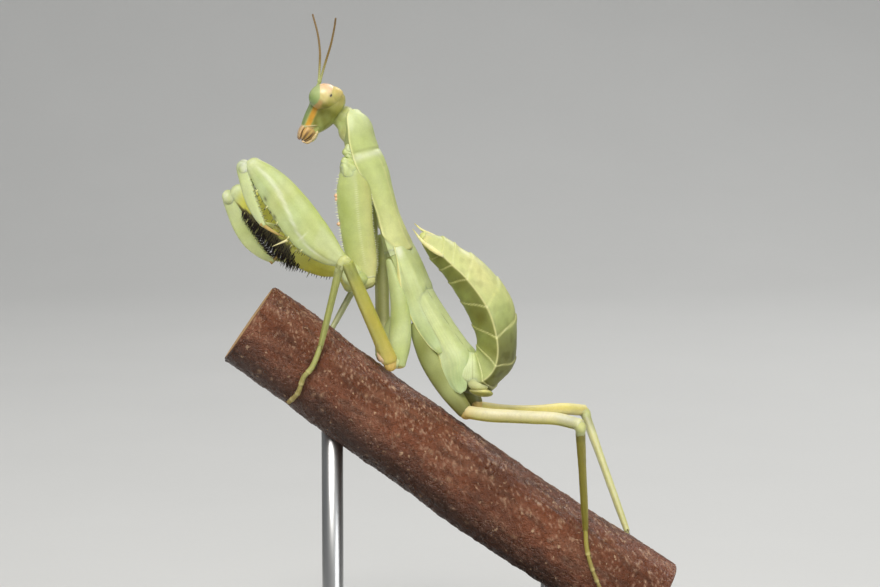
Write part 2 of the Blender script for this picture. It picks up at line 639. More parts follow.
def abdomen_tint(a, b, p):
    a, away = abdomen_places(a), off(b)                 # away: 0 back, 0.5 belly
    ridge = RIDGE + 0.07 * fade(a, 0.05, 0.22)
    belly = ease(away - ridge, -0.01, 0.02)
    back = coats(
        blend(GREEN, rgb(112, 112, 38), 0.66 + 0.22 * ripple(p, 2.2, 12)),
        (DARK_OLIVE, 0.12 * ease(ripple(p, 5.0, 14), 0.0, 0.8)),
        (PALE_GREEN, 0.85 * fade(a, 0.27, 0.40)),
        (blend(MILK_GREEN, PALE_GREEN, 0.25 + 0.25 * np.sin(a * 420.0)),
         0.85 * fade(a, 0.12, 0.21)),
        (OLIVE, 0.45 * bell(a, 0.125, 0.005)))
    front = coats(
        blend(PALE_GREEN, CREAM, 0.30 + 0.2 * ripple(p, 1.2, 15)),
        (GREEN, 0.65 * fade(a, 0.46, 0.66)),
        (rgb(92, 92, 30),
         0.85 * fade(a, 0.40, 0.56) + 0.16 * ease(ripple(p, 4.2, 16), 0.1, 0.8)))
    on_ridge = bell(away, ridge, 0.007 + 0.010 * ease(a, 0.6, 0.95))
    colour = coats(blend(back, front, belly), (RIM_YELLOW, 0.70 * on_ridge * ease(a, 0.15, 0.22)))
    shown = 1.0 - 0.90 * belly * ease(a, 0.50, 0.56)
    for end in SEAMS:
        line = abdomen_line(a, away, end)
        colour = coats(colour, (RIM_YELLOW, 0.62 * bell(line, 0.0, 0.0022) * shown),
                       (OLIVE, 0.25 * bell(line, 0.006, 0.004) * shown))
    return blend(colour, CREAM, 0.4 * ease(a, 0.95, 1.0))


def abdomen_swell(a, b, p):
    share, away = abdomen_places(a), off(b)
    out = 0.05 * bell(away, RIDGE, 0.012) * ease(share, 0.05, 0.15)
    out += 0.03 * bell(away, 0.0, 0.02) + 0.012 * ripple(p, 6.0, 21)
    out -= 0.45 * bell(share, 0.275, 0.055) * ease(away, 0.30, 0.45)
    for end in SEAMS:
        line = abdomen_line(share, away, end)
        rise = 0.10 + 0.03 * ease(away, 0.32, 0.46)
        out += rise * bell(np.minimum(line, 0.0), 0.0, 0.022) * (line <= 0.0)
        out -= 0.02 * bell(line, 0.004, 0.004)
    return out


# ---------------------------------------------------------------- head
EYE_LONG = (HEAD_DOWN * 0.6 + HEAD_FACE * 0.8).normalized()
EYE_AXES = (EYE_LONG, HEAD_LEFT, EYE_LONG.cross(HEAD_LEFT).normalized())
EYE_DROOP = 0.05             # the lower half of an eye is a little longer than the upper
TEMPLE_PLACE = (-1.00, 0.18, 2.44)
TEMPLE_SIZE = (1.85, 1.24, 0.98)
TEMPLE_AXES = (-EYE_AXES[0], HEAD_LEFT, -EYE_AXES[2])


def on_side(place, sign):
    """A point given on the head's left side, or its mirror where sign is -1."""
    return head_point(place[0], place[1], place[2] * sign)


def lump_gap(points, place, sizes, fit, sign):
    """Height of points over an eye or a temple, about in millimetres and at least 0."""
    local = points - np.array(tuple(on_side(place, sign)))
    axes = np.array([tuple(axis) for axis in EYE_AXES])
    away = np.linalg.norm((local @ axes.T) / np.array(sizes), axis=-1)
    return np.maximum(away * fit - fit, 0.0)


def joined(gap, reach):
    """Height of the fillet that joins two rounded forms, `gap` millimetres from one of them."""
    return 0.25 * reach * np.clip(1.0 - gap / reach, 0.0, 1.0) ** 2


def skull_rings(around, along):
    turns = [2.0 * math.pi * k / around for k in range(around)]
    rings, centres = [], []
    for down, half, front, back in spline(SKULL, along):
        centres.append(head_point(down, 0.5 * (front + back), 0.0))
        outline = []
        for turn in turns:
            c, s = math.cos(turn), math.sin(turn)
            square = 1.0 / (abs(c) ** 2.6 + abs(s) ** 2.6) ** (1.0 / 2.6)
            outline.append((half * c * square, 0.5 * (front - back) * s * square))
        rings.append(ring(centres[-1], HEAD_LEFT, HEAD_FACE, outline))
    return closed(rings, centres, [HEAD_DOWN] * along, (0.16, 0.05),
                  (0.3, 0.55, 0.75, 0.9, 0.985))


def mouth_fold(face):
    """How far down the fold above the mouth lies."""
    return 3.58 + 0.60 * (np.minimum(face, 1.05) - 1.05)


def skull_swell(a, b, p):
    down, face, left = head_places(p)
    near = np.abs(left)
    out = np.zeros(a.shape)
    # the crown and the cheek rise smoothly to meet each eye
    for sign in (1.0, -1.0):
        gap = np.minimum(lump_gap(p, EYE_PLACE, EYE_SIZE, 1.6, sign),
                         lump_gap(p, TEMPLE_PLACE, TEMPLE_SIZE, 1.4, sign))
        out += joined(gap, 1.4) * fade(face, -0.1, 0.9) * ease(near, 0.9, 1.7)
    front = ease(face, 0.9, 1.4)
    under = down - mouth_fold(face)
    out += (0.045 * bell(under, 0.0, 0.07) - 0.050 * bell(under, 0.16, 0.08)) * ease(face, -0.5, 0.1)
    out -= 0.050 * bell(near, 0.95, 0.10) * front * span(down, 0.2, 0.8, 2.7, 3.2)
    out += 0.05 * bell(down, 0.55, 0.16) * front * fade(near, 0.7, 1.0)
    # grooves down the back of the crown, and a netted cheek
    out -= 0.06 * bell(near, 0.75, 0.08) * fade(down, -1.6, -0.9) * fade(face, 0.2, 0.9)
    out += 0.035 * ripple(p, 4.6, 32) * ease(near, 0.9, 1.4) * ease(down, 0.3, 0.9)
    return out + 0.008 * ripple(p, 9.0, 31)


def flank_tint(down):
    """Colours that run on unbroken from the rear of an eye over the head behind it."""
    return coats(blend(rgb(186, 176, 96), rgb(204, 184, 112), fade(down, -2.1, -1.2)),
                 (rgb(160, 154, 70), ease(down, -0.9, -0.1)),
                 (rgb(118, 116, 32), ease(down, -0.1, 0.7)))


def skull_tint(a, b, p):
    down, face, left = head_places(p)
    near, under = np.abs(left), down - mouth_fold(face)
    front, jaw = ease(face, 1.08, 1.25), ease(face, -0.5, 0.1)
    cheek = span(down, 0.2, 1.0, 3.0, 3.8) * fade(face, 0.2, 0.7)
    # the stripe runs from the foot of the eye to the mouth
    stripe = (fade(np.abs(face - 0.80 + 0.05 * (down - 1.4)), 0.24, 0.40)
              * span(down, 0.7, 1.0, 3.25, 3.55) * ease(near, 0.6, 0.9))
    return coats(
        blend(PALE_GREEN, GREEN, 0.45 + 0.2 * ripple(p, 1.6, 33)),
        (flank_tint(down),
         0.85 * ease(near, 0.7, 1.5) * fade(face, 0.2, 0.9) * fade(down, 0.6, 1.6)),
        (rgb(120, 118, 34), (0.72 + 0.25 * ripple(p, 4.6, 32)) * cheek),
        (GOLD, 0.30 * fade(down, -1.4, -0.3) * fade(face, -0.2, 0.6)),
        (rgb(126, 146, 94), 0.85 * front * ease(down, 0.2, 1.0)),
        (rgb(212, 152, 40), 0.90 * stripe),
        (rgb(222, 204, 164), 0.75 * bell(under, 0.0, 0.08) * jaw),
        (rgb(176, 128, 86), 0.80 * ease(under, 0.10, 0.25) * ease(face, -0.3, 0.2)),
        (rgb(110, 130, 78), 0.5 * bell(near, 0.95, 0.08) * front * ease(down, 0.3, 0.8)))


def temple_tint(a, b, p):
    return flank_tint(head_places(p)[0])


def eye_rings(sign, rows, around):
    centre = on_side(EYE_PLACE, sign)
    rings = ellipsoid_rings(centre, EYE_AXES, EYE_SIZE, rows, around, 0.004)
    return [[point + HEAD_DOWN * max((point - centre).dot(HEAD_DOWN), 0.0) * EYE_DROOP
             for point in row] for row in rings]


def eye_tint(sign):
    def tint(a, b, p):
        flank = flank_tint(head_places(p)[0])
        down, face, out = [place - middle for place, middle in
                           zip(head_places(p), (*EYE_PLACE[:2], EYE_PLACE[2] * sign))]
        out = out * sign
        edge = np.maximum(0.53 - 0.51 * down, 0.31 + 0.55 * np.maximum(down - 1.1, 0.0))
        front = ease(face - edge, -0.05, 0.05)
        band = ease(face, -0.40, -0.08) * ease(down, 0.40, 0.95) * (1.0 - front)
        spot = np.sqrt((down + 0.42) ** 2 * 0.7 + (face + 0.74) ** 2 * 1.7)
        seen = ease(out, 0.2, 0.6)
        return coats(
            blend(rgb(206, 192, 126), rgb(230, 208, 162), fade(down, -0.9, 0.1)),
            (rgb(236, 186, 152), 0.55 * fade(down, -1.2, -0.45)),
            (flank, fade(face, -1.0, -0.25)),
            (rgb(114, 110, 28), 0.88 * ease(down, 0.30, 1.15)),
            (rgb(186, 160, 92),
             0.14 * ease(np.sin(6.5 * (face * 0.55 + down) + 0.6), 0.2, 0.9)),
            (rgb(190, 152, 92), 0.85 * band),
            (blend(rgb(166, 182, 124), rgb(134, 158, 92), ease(down, -0.2, 1.2)), 0.94 * front),
            (rgb(120, 96, 36), 0.45 * bell(spot, 0.0, 0.28) * seen),
            (rgb(24, 15, 8), 0.98 * fade(spot, 0.12, 0.18) * seen))
    return tint


# ---------------------------------------------------------------- limbs
def fore_plane(side):
    """Directions along a fore femur, toward its blade, and toward the camera's side."""
    along = unit(FORE[side]["femur"], FORE[side]["knee"])
    thick = (TOWARD - along * TOWARD.dot(along)).normalized()
    return along, facing_left(thick.cross(along).normalized()), thick


def facing_left(way):
    return -way if way.x > 0.0 else way


def away_from(way, other):
    return -way if way.dot(other) > 0.0 else way


def fore_coxa_rows(side):
    """The upper end sits inside the body, behind the rim of the shield."""
    joints = FORE[side]
    rows = limb_rows(joints["root"], joints["hip"], COXA_FORE, *FORE_COXA_HALF,
                     bow=0.42, bow_way=Vector((-1.0, 0.0, 0.0)))
    inward, slim, shift = (1.25, 1.0, 0.0) if side == "left" else (-1.25, 0.80, -0.55)
    return [(x + shift * k / 7.0, y + inward * max(1.0 - k / 3.2, 0.0) ** 1.3, z,
             half * lerp(1.0, slim, k / 7.0), thick)
            for k, (x, y, z, half, thick) in enumerate(rows)]


def fore_femur_rows(side):
    return limb_rows(FORE[side]["femur"], FORE[side]["knee"], FEMUR_FORE, *FORE_FEMUR_HALF,
                     bow_way=-fore_plane(side)[1], count=10)


def fore_tibia_rows(side):
    """Blade folded against the femur; the outer edge keeps its place as the width changes."""
    belly, thick = fore_plane(side)[1:]
    rows = limb_rows(FORE[side]["tibia"], FORE[side]["tibia_end"], TIBIA_FORE, *FORE_TIBIA_HALF,
                     bow=FORE[side]["bow"], bow_way=belly)
    inner = away_from(unit(rows[0], rows[-1]).cross(thick).normalized(), belly)
    wide = 0.10 if side == "left" else 0.34
    fuller = []
    for k, (x, y, z, half, flat) in enumerate(rows):
        more = wide * math.sin(math.pi * min(k / 7.0 + 0.12, 1.0))
        fuller.append((*(Vector((x, y, z)) + inner * more), half + more, flat))
    return fuller


def fore_tarsus_rows(side):
    along, belly, thick = fore_plane(side)
    start = Vector(FORE[side]["tibia_end"])
    return [(*(start - along * back + belly * down - thick * out), 0.26, 0.26)
            for back, down, out in ((0.10, -0.15, 0.75), (1.2, -0.75, 1.15), (3.2, -1.30, 1.40),
                                    (5.2, -1.80, 1.44))]


def walk_up(a, b):
    return TOWARD if abs(unit(a, b).dot(TOWARD)) < 0.8 else Vector((0.0, 0.0, 1.0))


def walk_coxa_rows(leg):
    root, hip = Vector(WALK[leg]["root"]), Vector(WALK[leg]["hip"])
    if leg == ("hind", "left"):
        root += (root - hip).normalized() * 1.5
    half = HALVES[leg[0]][0]
    return limb_rows(root, hip, COXA_HIND if leg[0] == "hind" else COXA_MID, half, half * 0.88,
                     bow=WALK[leg]["bow"], bow_way=Vector((1.0, 0.0, 0.0)), count=6)


def walk_femur_rows(leg):
    start, knee = Vector(WALK[leg]["femur"]), WALK[leg]["knee"]
    half = HALVES[leg[0]][1] * (0.92 if leg[0] == "hind" else 1.0)
    bow = 0.0
    if leg == ("hind", "right"):
        start.z -= 0.42
        bow = 0.50
    return limb_rows(start + unit(start, knee) * 0.45, knee,
                     FEMUR_HIND if leg[0] == "hind" else FEMUR_MID, half, half * 0.92,
                     bow=bow, bow_way=Vector((0.0, 0.0, -1.0)), count=6)


def walk_tibia_rows(leg):
    knee, ankle = Vector(WALK[leg]["knee"]), WALK[leg]["ankle"]
    near_mid = leg == ("mid", "left")
    start = knee + (Vector((-0.80, 0.0, -0.25)) if near_mid else unit(knee, ankle) * 0.55)
    half = HALVES[leg[0]][2]
    return limb_rows(start, ankle, TIBIA_WALK, half, half, count=6)


def knee_rows(leg):
    """Rounded knee that flows from the end of the thigh into the top of the shank."""
    femur, tibia = walk_femur_rows(leg), walk_tibia_rows(leg)
    corner = Vector(WALK[leg]["knee"])
    if leg == ("mid", "left"):
        corner += Vector((-0.36, 0.0, 0.34))
    elif leg[0] == "hind":
        corner += unit(tibia[0], tibia[-1]) * 0.28
    half = femur[-1][3] * (0.98 if leg[0] == "hind" else 0.78)
    return [row_at(femur, 0.84, 0.93), row_at(femur, 0.95, 0.96), (*corner, half, half),
            row_at(tibia, 0.04, 1.00), row_at(tibia, 0.10, 0.96), row_at(tibia, 0.17, 0.80)]


def perch_frame(share):
    near = spline(PERCH_LINE, 2, max(share - 0.01, 0.0), min(share + 0.01, 1.0))
    here = spline(PERCH_LINE, 2, share, min(share + 0.001, 1.0))[0]
    normal = unit(*near).cross(TOWARD).normalized()
    return Vector(here[:3]), here[3], -normal if normal.z < 0.0 else normal


def perch_point(x, angle, lift):
    """Point `lift` over the bark at x, turned by angle from the top toward the near side."""
    low, high = 0.0, 1.0
    for _ in range(24):
        middle = 0.5 * (low + high)
        if perch_frame(middle)[0].x < x:
            low = middle
        else:
            high = middle
    centre, radius, normal = perch_frame(0.5 * (low + high))
    turn = math.radians(angle)
    way = normal * math.cos(turn) + TOWARD * math.sin(turn)
    return centre + way * (radius + lift), way


def walk_tarsus(leg):
    """Rows of a foot, and the way out of the bark at its tip."""
    ankle = Vector(WALK[leg]["ankle"])
    places = [perch_point(*place) for place in TARSI[leg]]
    path = [ankle + unit(WALK[leg]["knee"], ankle) * 0.05] + [point for point, way in places]
    half = TARSUS_HALF * (1.24 if leg == ("mid", "left") else 1.08)
    return [(*point, half, half) for point in path], places[-1][1]


SEGMENTS = (0.40, 0.60, 0.74, 0.86)         # ends of the first four joints of a foot


def tarsus_swell(a, b, p):
    out = np.full(a.shape, -0.02)
    for low, high in zip((0.0,) + SEGMENTS, SEGMENTS + (1.0,)):
        inside = (a > low) & (a <= high)
        out = np.where(inside, out + 0.05 * ((a - low) / (high - low)) ** 3, out)
    for end in SEGMENTS:
        out -= 0.04 * bell(a, end + 0.010, 0.012)
    return out - 0.04 * ease(a, 0.0, 1.0)


def tarsus_tint(first, last):
    return lambda a, b, p: coats(
        blend(first, last, ease(a, 0.05, 0.95)),
        *[(CREAM, 0.35 * bell(a, end - 0.02, 0.02)) for end in SEGMENTS],
        (BROWN, 0.30 * ease(a, 0.93, 1.0)))


def fore_coxa_tint(a, b, p):
    beads = (0.5 + 0.5 * wave(a, 64.0)) ** 2
    return coats(
        blend(GREEN, PALE_GREEN, 0.42 + 0.25 * ripple(p, 1.3, 41)),
        (rgb(182, 178, 108), 0.55 * wrap_bell(b, 0.42, 0.13)),
        (CREAM, 0.30 * ease(a, 0.55, 0.95)),
        (MILK_GREEN, (0.5 + 0.4 * ripple(p, 3.2, 40)) * fade(a, 0.10, 0.20)),
        (MILK_GREEN, 0.6 * wrap_bell(b, 0.0, 0.05)),
        (WHITE, 0.35 * bell(a, 0.935, 0.008)),
        (WHITE, 0.42 * wrap_bell(b, 0.27, 0.008) * beads * span(a, 0.2, 0.3, 0.8, 0.9)))


def fore_coxa_swell(a, b, p):
    beads = (0.5 + 0.5 * wave(a, 64.0)) ** 2
    out = 0.05 * wrap_bell(b, 0.27, 0.03) + 0.02 * wrap_bell(b, 0.27, 0.010) * beads
    out += 0.07 * wrap_bell(b, 0.0, 0.03) - 0.05 * wrap_bell(b, 0.13, 0.07)
    return (out * span(a, 0.15, 0.3, 0.8, 0.92) + 0.09 * ripple(p, 3.4, 43) * fade(a, 0.12, 0.20)
            - 0.10 * bell(a, 0.945, 0.008) + 0.012 * ripple(p, 5.0, 42))


def fore_femur_tint(side):
    near = side == "left"
    outer, sign, start = (0.25, 1.0, 0.24) if near else (0.75, -1.0, 0.38)

    def tint(a, b, p):
        away = off(b, outer)
        fold = outer + (0.10 - 0.14 * ease(a, 0.25, 0.9)) * sign
        if near:
            gap = np.abs(b - 0.52) - 0.065
        else:
            gap = np.abs(b - 0.44) - (0.055 + 0.075 * fade(a, 0.60, 0.92)) * ease(a, 0.34, 0.52)
        slit = fade(gap + 0.020 * ripple(p, 5.0, 47), 0.0, 0.022)
        if near:
            slit *= 0.25 + 0.75 * ease(np.cos(2.0 * math.pi * 13.0 * a + 2.0 * ripple(p, 2.0, 48)),
                                       -0.2, 0.6)
        inner = blend(PALE_GREEN, rgb(228, 222, 80),
                      (0.25 if near else 0.90) + 0.25 * ripple(p, 1.5, 45))
        spots = [(rgb(58, 52, 22), 0.90 * bell(a, place, 0.016) * bell(b, outer + turn, 0.020))
                 for place, turn in ((0.74, 0.14), (0.62, 0.17))]
        return coats(
            blend(rgb(184, 192, 122), rgb(186, 200, 142), 0.35 + 0.4 * ripple(p, 1.1, 44)),
            (rgb(170, 182, 96), 0.60 * wrap_bell(b, 0.02, 0.10)),
            (GREEN, 0.22 * ease(np.cos(2.0 * math.pi * 9.0 * b + 3.0 * a), 0.2, 1.0)),
            (CREAM, 0.16 * fade(a, 0.1, 0.45)),
            (WHITE, 0.25 * ease(a, 0.86, 0.97)),
            (WHITE, 0.55 * wrap_bell(b, fold, 0.012 + 0.012 * ease(a, 0.5, 0.9))
             * span(a, 0.15, 0.3, 0.85, 0.95)),
            (WHITE, 0.12 * ease(ripple(p, 1.5, 49), 0.1, 0.8) * fade(away, 0.20, 0.30)),
            (WHITE, 0.5 * bell(a, 0.43, 0.006) * wrap_bell(b, outer + 0.06 * sign, 0.05)),
            (inner, 0.85 * fade(off(b, outer + 0.5), 0.17, 0.25) * span(a, 0.03, 0.15, 0.85, 0.95)),
            (rgb(44, 30, 14), 0.90 * slit * span(a, start, start + 0.08, 0.86, 0.93)),
            *spots)
    return tint


def fore_femur_swell(a, b, p):
    out = 0.06 * wrap_bell(b, 0.30, 0.02) - 0.05 * wrap_bell(b, 0.35, 0.03)
    out += 0.05 * wrap_bell(b, 0.0, 0.03) - 0.20 * wrap_bell(b, 0.5, 0.022)
    out += 0.07 * (wrap_bell(b, 0.44, 0.025) + wrap_bell(b, 0.56, 0.025))
    return out * span(a, 0.12, 0.3, 0.75, 0.92) + 0.012 * ripple(p, 4.0, 46)


def plain_tint(main, second, amount, seed, base=None, tip=None, reach=0.1):
    """Mottled colour, with a base and a tip colour that each run over `reach` of the length."""
    def tint(a, b, p):
        colour = blend(main, second, amount + 0.3 * ripple(p, 1.4, seed))
        if base is not None:
            colour = blend(colour, base, 0.85 * fade(a, 0.3 * reach, reach))
        if tip is not None:
            colour = blend(colour, tip, 0.85 * ease(a, 1.0 - reach, 1.0 - 0.3 * reach))
        return colour
    return tint


def ridged(count, depth, seed):
    return lambda a, b, p: (depth * wave(b, count) * span(a, 0.05, 0.2, 0.85, 0.97)
                            + 0.006 * ripple(p, 6.0, seed))


def hind_femur_tint(a, b, p):
    """Cream above and yellow-green below, orange at the root."""
    return coats(
        blend(rgb(230, 220, 166), rgb(180, 174, 46), 0.95 * wrap_bell(b, 0.05, 0.17)),
        (rgb(240, 234, 206), 0.75 * wrap_bell(b, 0.36, 0.08) * ease(a, 0.1, 0.3)),
        (PALE_GREEN, 0.35 * ease(a, 0.65, 0.95) + 0.06 * ripple(p, 2.0, 53)),
        (ORANGE, fade(a, 0.05, 0.20) * (0.35 + 0.45 * wrap_bell(b, 0.05, 0.15))))


def mid_femur_tint(a, b, p):
    return coats(
        blend(rgb(180, 168, 66), rgb(158, 162, 76), ease(a, 0.45, 0.95)),
        (rgb(204, 182, 92), 0.7 * fade(a, 0.05, 0.40)),
        (rgb(206, 200, 128), 0.35 * wrap_bell(b, 0.35, 0.07)),
        (GREEN, 0.10 * ripple(p, 2.0, 53) + 0.1),
        (ORANGE, 0.8 * fade(a, 0.03, 0.09)))


def streaked_tint(main, second, seed):
    """Faint lengthwise streaks, as on a thin leg seen against the light."""
    return lambda a, b, p: coats(
        blend(main, second, 0.35 + 0.35 * wave(b, 5.0) + 0.15 * ripple(p, 1.2, seed)),
        (PALE_GREEN, 0.2 * ease(a, 0.92, 0.99)))


SHANKS = {
    ("mid", "left"): (rgb(146, 150, 76), rgb(166, 168, 104)),
    ("mid", "right"): (rgb(172, 178, 126), rgb(206, 210, 168)),
    ("hind", "left"): (rgb(140, 130, 44), rgb(160, 150, 66)),
    ("hind", "right"): (rgb(204, 202, 152), rgb(190, 188, 118)),
}
THIGHS = {
    ("mid", "left"): (mid_femur_tint, rgb(170, 174, 96)),
    ("mid", "right"): (streaked_tint(rgb(182, 184, 112), rgb(218, 218, 164), 59),
                       rgb(166, 172, 120)),
    ("hind", "left"): (hind_femur_tint, rgb(214, 206, 134)),
    ("hind", "right"): (streaked_tint(rgb(220, 204, 112), rgb(226, 214, 140), 60),
                        rgb(214, 206, 134)),
}
HIPS = {
    "mid": plain_tint(blend(GREEN, PALE_GREEN, 0.2), MILK_GREEN, 0.35, 51,
                      tip=rgb(196, 170, 84), reach=0.10),
    "hind": plain_tint(rgb(122, 126, 56), rgb(176, 184, 124), 0.35, 51,
                       tip=rgb(104, 100, 40), reach=0.30),
}
CERCI = (
    ((0.40, -2.85, 56.28, 0.14, 0.14), (-0.45, -2.92, 56.83, 0.27, 0.27),
     (-1.34, -2.50, 57.42, 0.27, 0.27), (-2.24, -1.80, 58.14, 0.18, 0.18),
     (-3.22, -0.95, 59.35, 0.045, 0.045)),
    ((-0.60, 0.90, 58.30, 0.20, 0.20), (-1.30, 0.70, 58.62, 0.22, 0.22),
     (-2.10, 0.50, 59.08, 0.15, 0.15), (-3.02, 0.48, 59.86, 0.045, 0.045)),
)
FOLDS = ((-11.00, 1.95, 69.10, 0.26, 0.30), (-11.05, 1.90, 68.50, 0.52, 0.55),
         (-10.80, 1.90, 67.70, 0.46, 0.60), (-11.00, 1.85, 67.05, 0.84, 0.88),
         (-11.00, 1.80, 66.30, 0.98, 0.98), (-10.72, 1.85, 65.40, 0.90, 0.90),
         (-10.45, 2.05, 64.50, 0.60, 0.62), (-10.20, 2.30, 63.70, 0.25, 0.30))


def fold_tint(a, b, p):
    return blend(blend(PALE_GREEN, GREEN, 0.45), MILK_GREEN, 0.45 + 0.5 * ripple(p, 3.4, 97))


def fold_swell(a, b, p):
    """Uneven creases that run slanting round the folded skin."""
    turn = np.sin(math.pi * (5.6 * a + 0.6 * np.sin(2.0 * math.pi * b + 0.6)
                             + 1.0 * ripple(p, 1.7, 98)))
    return (0.17 * np.sqrt(np.abs(turn)) - 0.12 + 0.15 * ripple(p, 3.1, 97)
            + 0.07 * ripple(p, 6.5, 96))


def lobe_tint(a, b, p):
    return coats(blend(rgb(206, 208, 146), PALE_GREEN, ease(p[..., 2], 41.0, 41.8)),
                 (rgb(184, 180, 104), fade(p[..., 2], 40.2, 40.65)))


def lip_tint(a, b, p):
    return blend(rgb(156, 154, 80), rgb(214, 208, 134), ease(p[..., 2], 39.84, 40.1))


# Lumps are given as centre, way, sizes, tint, rows, points round and lumpiness.
BELLY_LUMPS = (     # lobe and lip under the waist, and the plate that closes the abdomen
    ((4.62, -2.16, 41.10), (1.0, 0.0, -0.10), (1.16, 1.40, 0.98), lobe_tint, 30, 40, 0.04),
    ((4.92, -1.80, 39.80), (1.0, 0.0, -0.16), (0.50, 1.42, 1.15), lip_tint, 24, 36, 0.02),
    ((-1.52, -0.35, 58.04), (-0.74, 0.0, 0.60), (0.74, 1.16, 0.60),
     blend(PALE_GREEN, rgb(206, 204, 120), 0.5), 20, 26, 0.0),
)
NEAR_LEG_LUMPS = (  # pale fold and tip where the near middle leg bends at the body
    ((-6.95, -3.05, 44.35), (0.40, 0.0, -0.92), (0.50, 0.95, 0.50), rgb(222, 186, 140), 20, 28,
     0.06),
    ((-5.35, -2.35, 43.40), (0.75, 0.0, 0.6), (0.62, 0.95, 0.66), blend(PALE_GREEN, CREAM, 0.3),
     20, 28, 0.05),
)


def add_fore_leg(form, side):
    hip, femur, knee, tibia = [Vector(FORE[side][key])
                               for key in ("hip", "femur", "knee", "tibia")]
    tube(form, fore_coxa_rows(side), TOWARD, 40, 190, (0.6, 0.75), fore_coxa_tint,
         fore_coxa_swell)
    tube(form, fore_femur_rows(side), TOWARD, 44, 96, (1.05, 0.95), fore_femur_tint(side),
         fore_femur_swell)
    tube(form, fore_tibia_rows(side), TOWARD, 26, 60, (0.95, 0.3),
         plain_tint(PALE_GREEN, MILK_GREEN, 0.45, 47, base=MILK_GREEN, tip=GREEN, reach=0.14),
         ridged(3, 0.03, 48))
    along = fore_plane(side)[0]
    knob(form, tibia.lerp(knee, 0.45) + along * 0.30, along, (0.84, 0.92, 0.50),
         lambda a, b, p: blend(PALE_GREEN, WHITE, 0.22 + 0.5 * ripple(p, 4.0, 96)), 24, 30, 0.10)
    tube(form, fore_tarsus_rows(side), TOWARD, 14, 70, (0.12, 0.15),
         tarsus_tint(PALE_GREEN, GOLD), tarsus_swell)
    knob(form, hip.lerp(femur, 0.55), unit(hip, femur), (0.98, 1.35, 1.05),
         blend(PALE_GREEN, GREEN, 0.45), 24, 30)


def add_walking_leg(form, leg):
    joints, shank = WALK[leg], SHANKS[leg]
    thigh, knee = THIGHS[leg]
    tube(form, walk_coxa_rows(leg), walk_up(joints["root"], joints["hip"]), 32, 50, (0.5, 0.5),
         HIPS[leg[0]], ridged(3, 0.035, 52))
    tube(form, walk_femur_rows(leg), walk_up(joints["femur"], joints["knee"]), 24, 64,
         (0.75, 0.20), thigh, ridged(6, 0.018, 54))
    tube(form, walk_tibia_rows(leg), walk_up(joints["knee"], joints["ankle"]), 20, 70,
         (0.2, 0.1), streaked_tint(*shank, 55), ridged(4, 0.014, 56))
    rows = walk_tarsus(leg)[0]
    tube(form, rows, walk_up(rows[0], rows[-1]), 14, 90, (0.15, 0.15),
         tarsus_tint(blend(*shank, 0.4), rgb(150, 132, 78)), tarsus_swell)
    half = HALVES[leg[0]][1]
    knob(form, joints["femur"], unit(joints["root"], joints["femur"]),
         (half * 0.98, half * 1.22, half), blend(rgb(206, 166, 70), CREAM, 0.25), 22, 30, 0.05)
    tube(form, knee_rows(leg), TOWARD, 20, 44, (0.1, 0.1), lambda a, b, p: coats(
        blend(knee, blend(PALE_GREEN, CREAM, 0.30), ease(a, 0.2, 0.5)),
        (blend(*shank, 0.35), ease(a, 0.52, 0.86))))


# ---------------------------------------------------------------- wing pads
def pad_curve(width, arch, depth):
    """Middle of a pad across the body: from the middle of the back, over the shoulder,
    then hanging free of the side."""
    outline = [Vector(point) for point in thorax_outline(width, arch, depth)]
    curve = []
    for step, lift in ((0.0, 0.06), (0.55, 0.22), (1.1, PAD_LIFT), (1.6, PAD_LIFT),
                       (2.1, PAD_LIFT), (2.6, PAD_LIFT)):
        i = int(step)
        a, b = outline[i], outline[i + 1]
        wide = outline[i + 2] - outline[max(i - 1, 0)]
        run = (b - a).normalized().lerp(wide.normalized(), 0.5).normalized()
        curve.append(a.lerp(b, step - i) + Vector((-run.y, run.x)) * lift)
    return [tuple(point) for point in curve] + [(width + 0.47, -0.45), (width + 0.60, -1.25)]


def curve_point(curve, step, lift):
    """Smooth curve through the corners of a pad, and the point `lift` outside it."""
    last = len(curve) - 1
    step = min(max(step, 0.0), last - 0.001)
    here = Vector(spline(curve, 2, step / last, min(step / last + 0.001, 1.0))[0])
    near = spline(curve, 2, max(step - 0.15, 0.0) / last, min(step + 0.15, last) / last)
    run = (Vector(near[1]) - Vector(near[0])).normalized()
    return here + Vector((-run.y, run.x)) * lift


def thorax_station(share):
    """Centre, direction and section sizes of the hind trunk, which runs on past its end."""
    inside = min(max(share, 0.0), 0.999)
    row = spline(PTEROTHORAX, 2, inside, inside + 0.001)[0]
    near = spline(PTEROTHORAX, 2, max(inside - 0.06, 0.0), min(inside + 0.06, 1.0))
    whole = (Vector(PTEROTHORAX[-1][:3]) - Vector(PTEROTHORAX[0][:3])).length
    return Vector(row[:3]) + unit(*near) * (share - inside) * whole, unit(*near), row[3:]


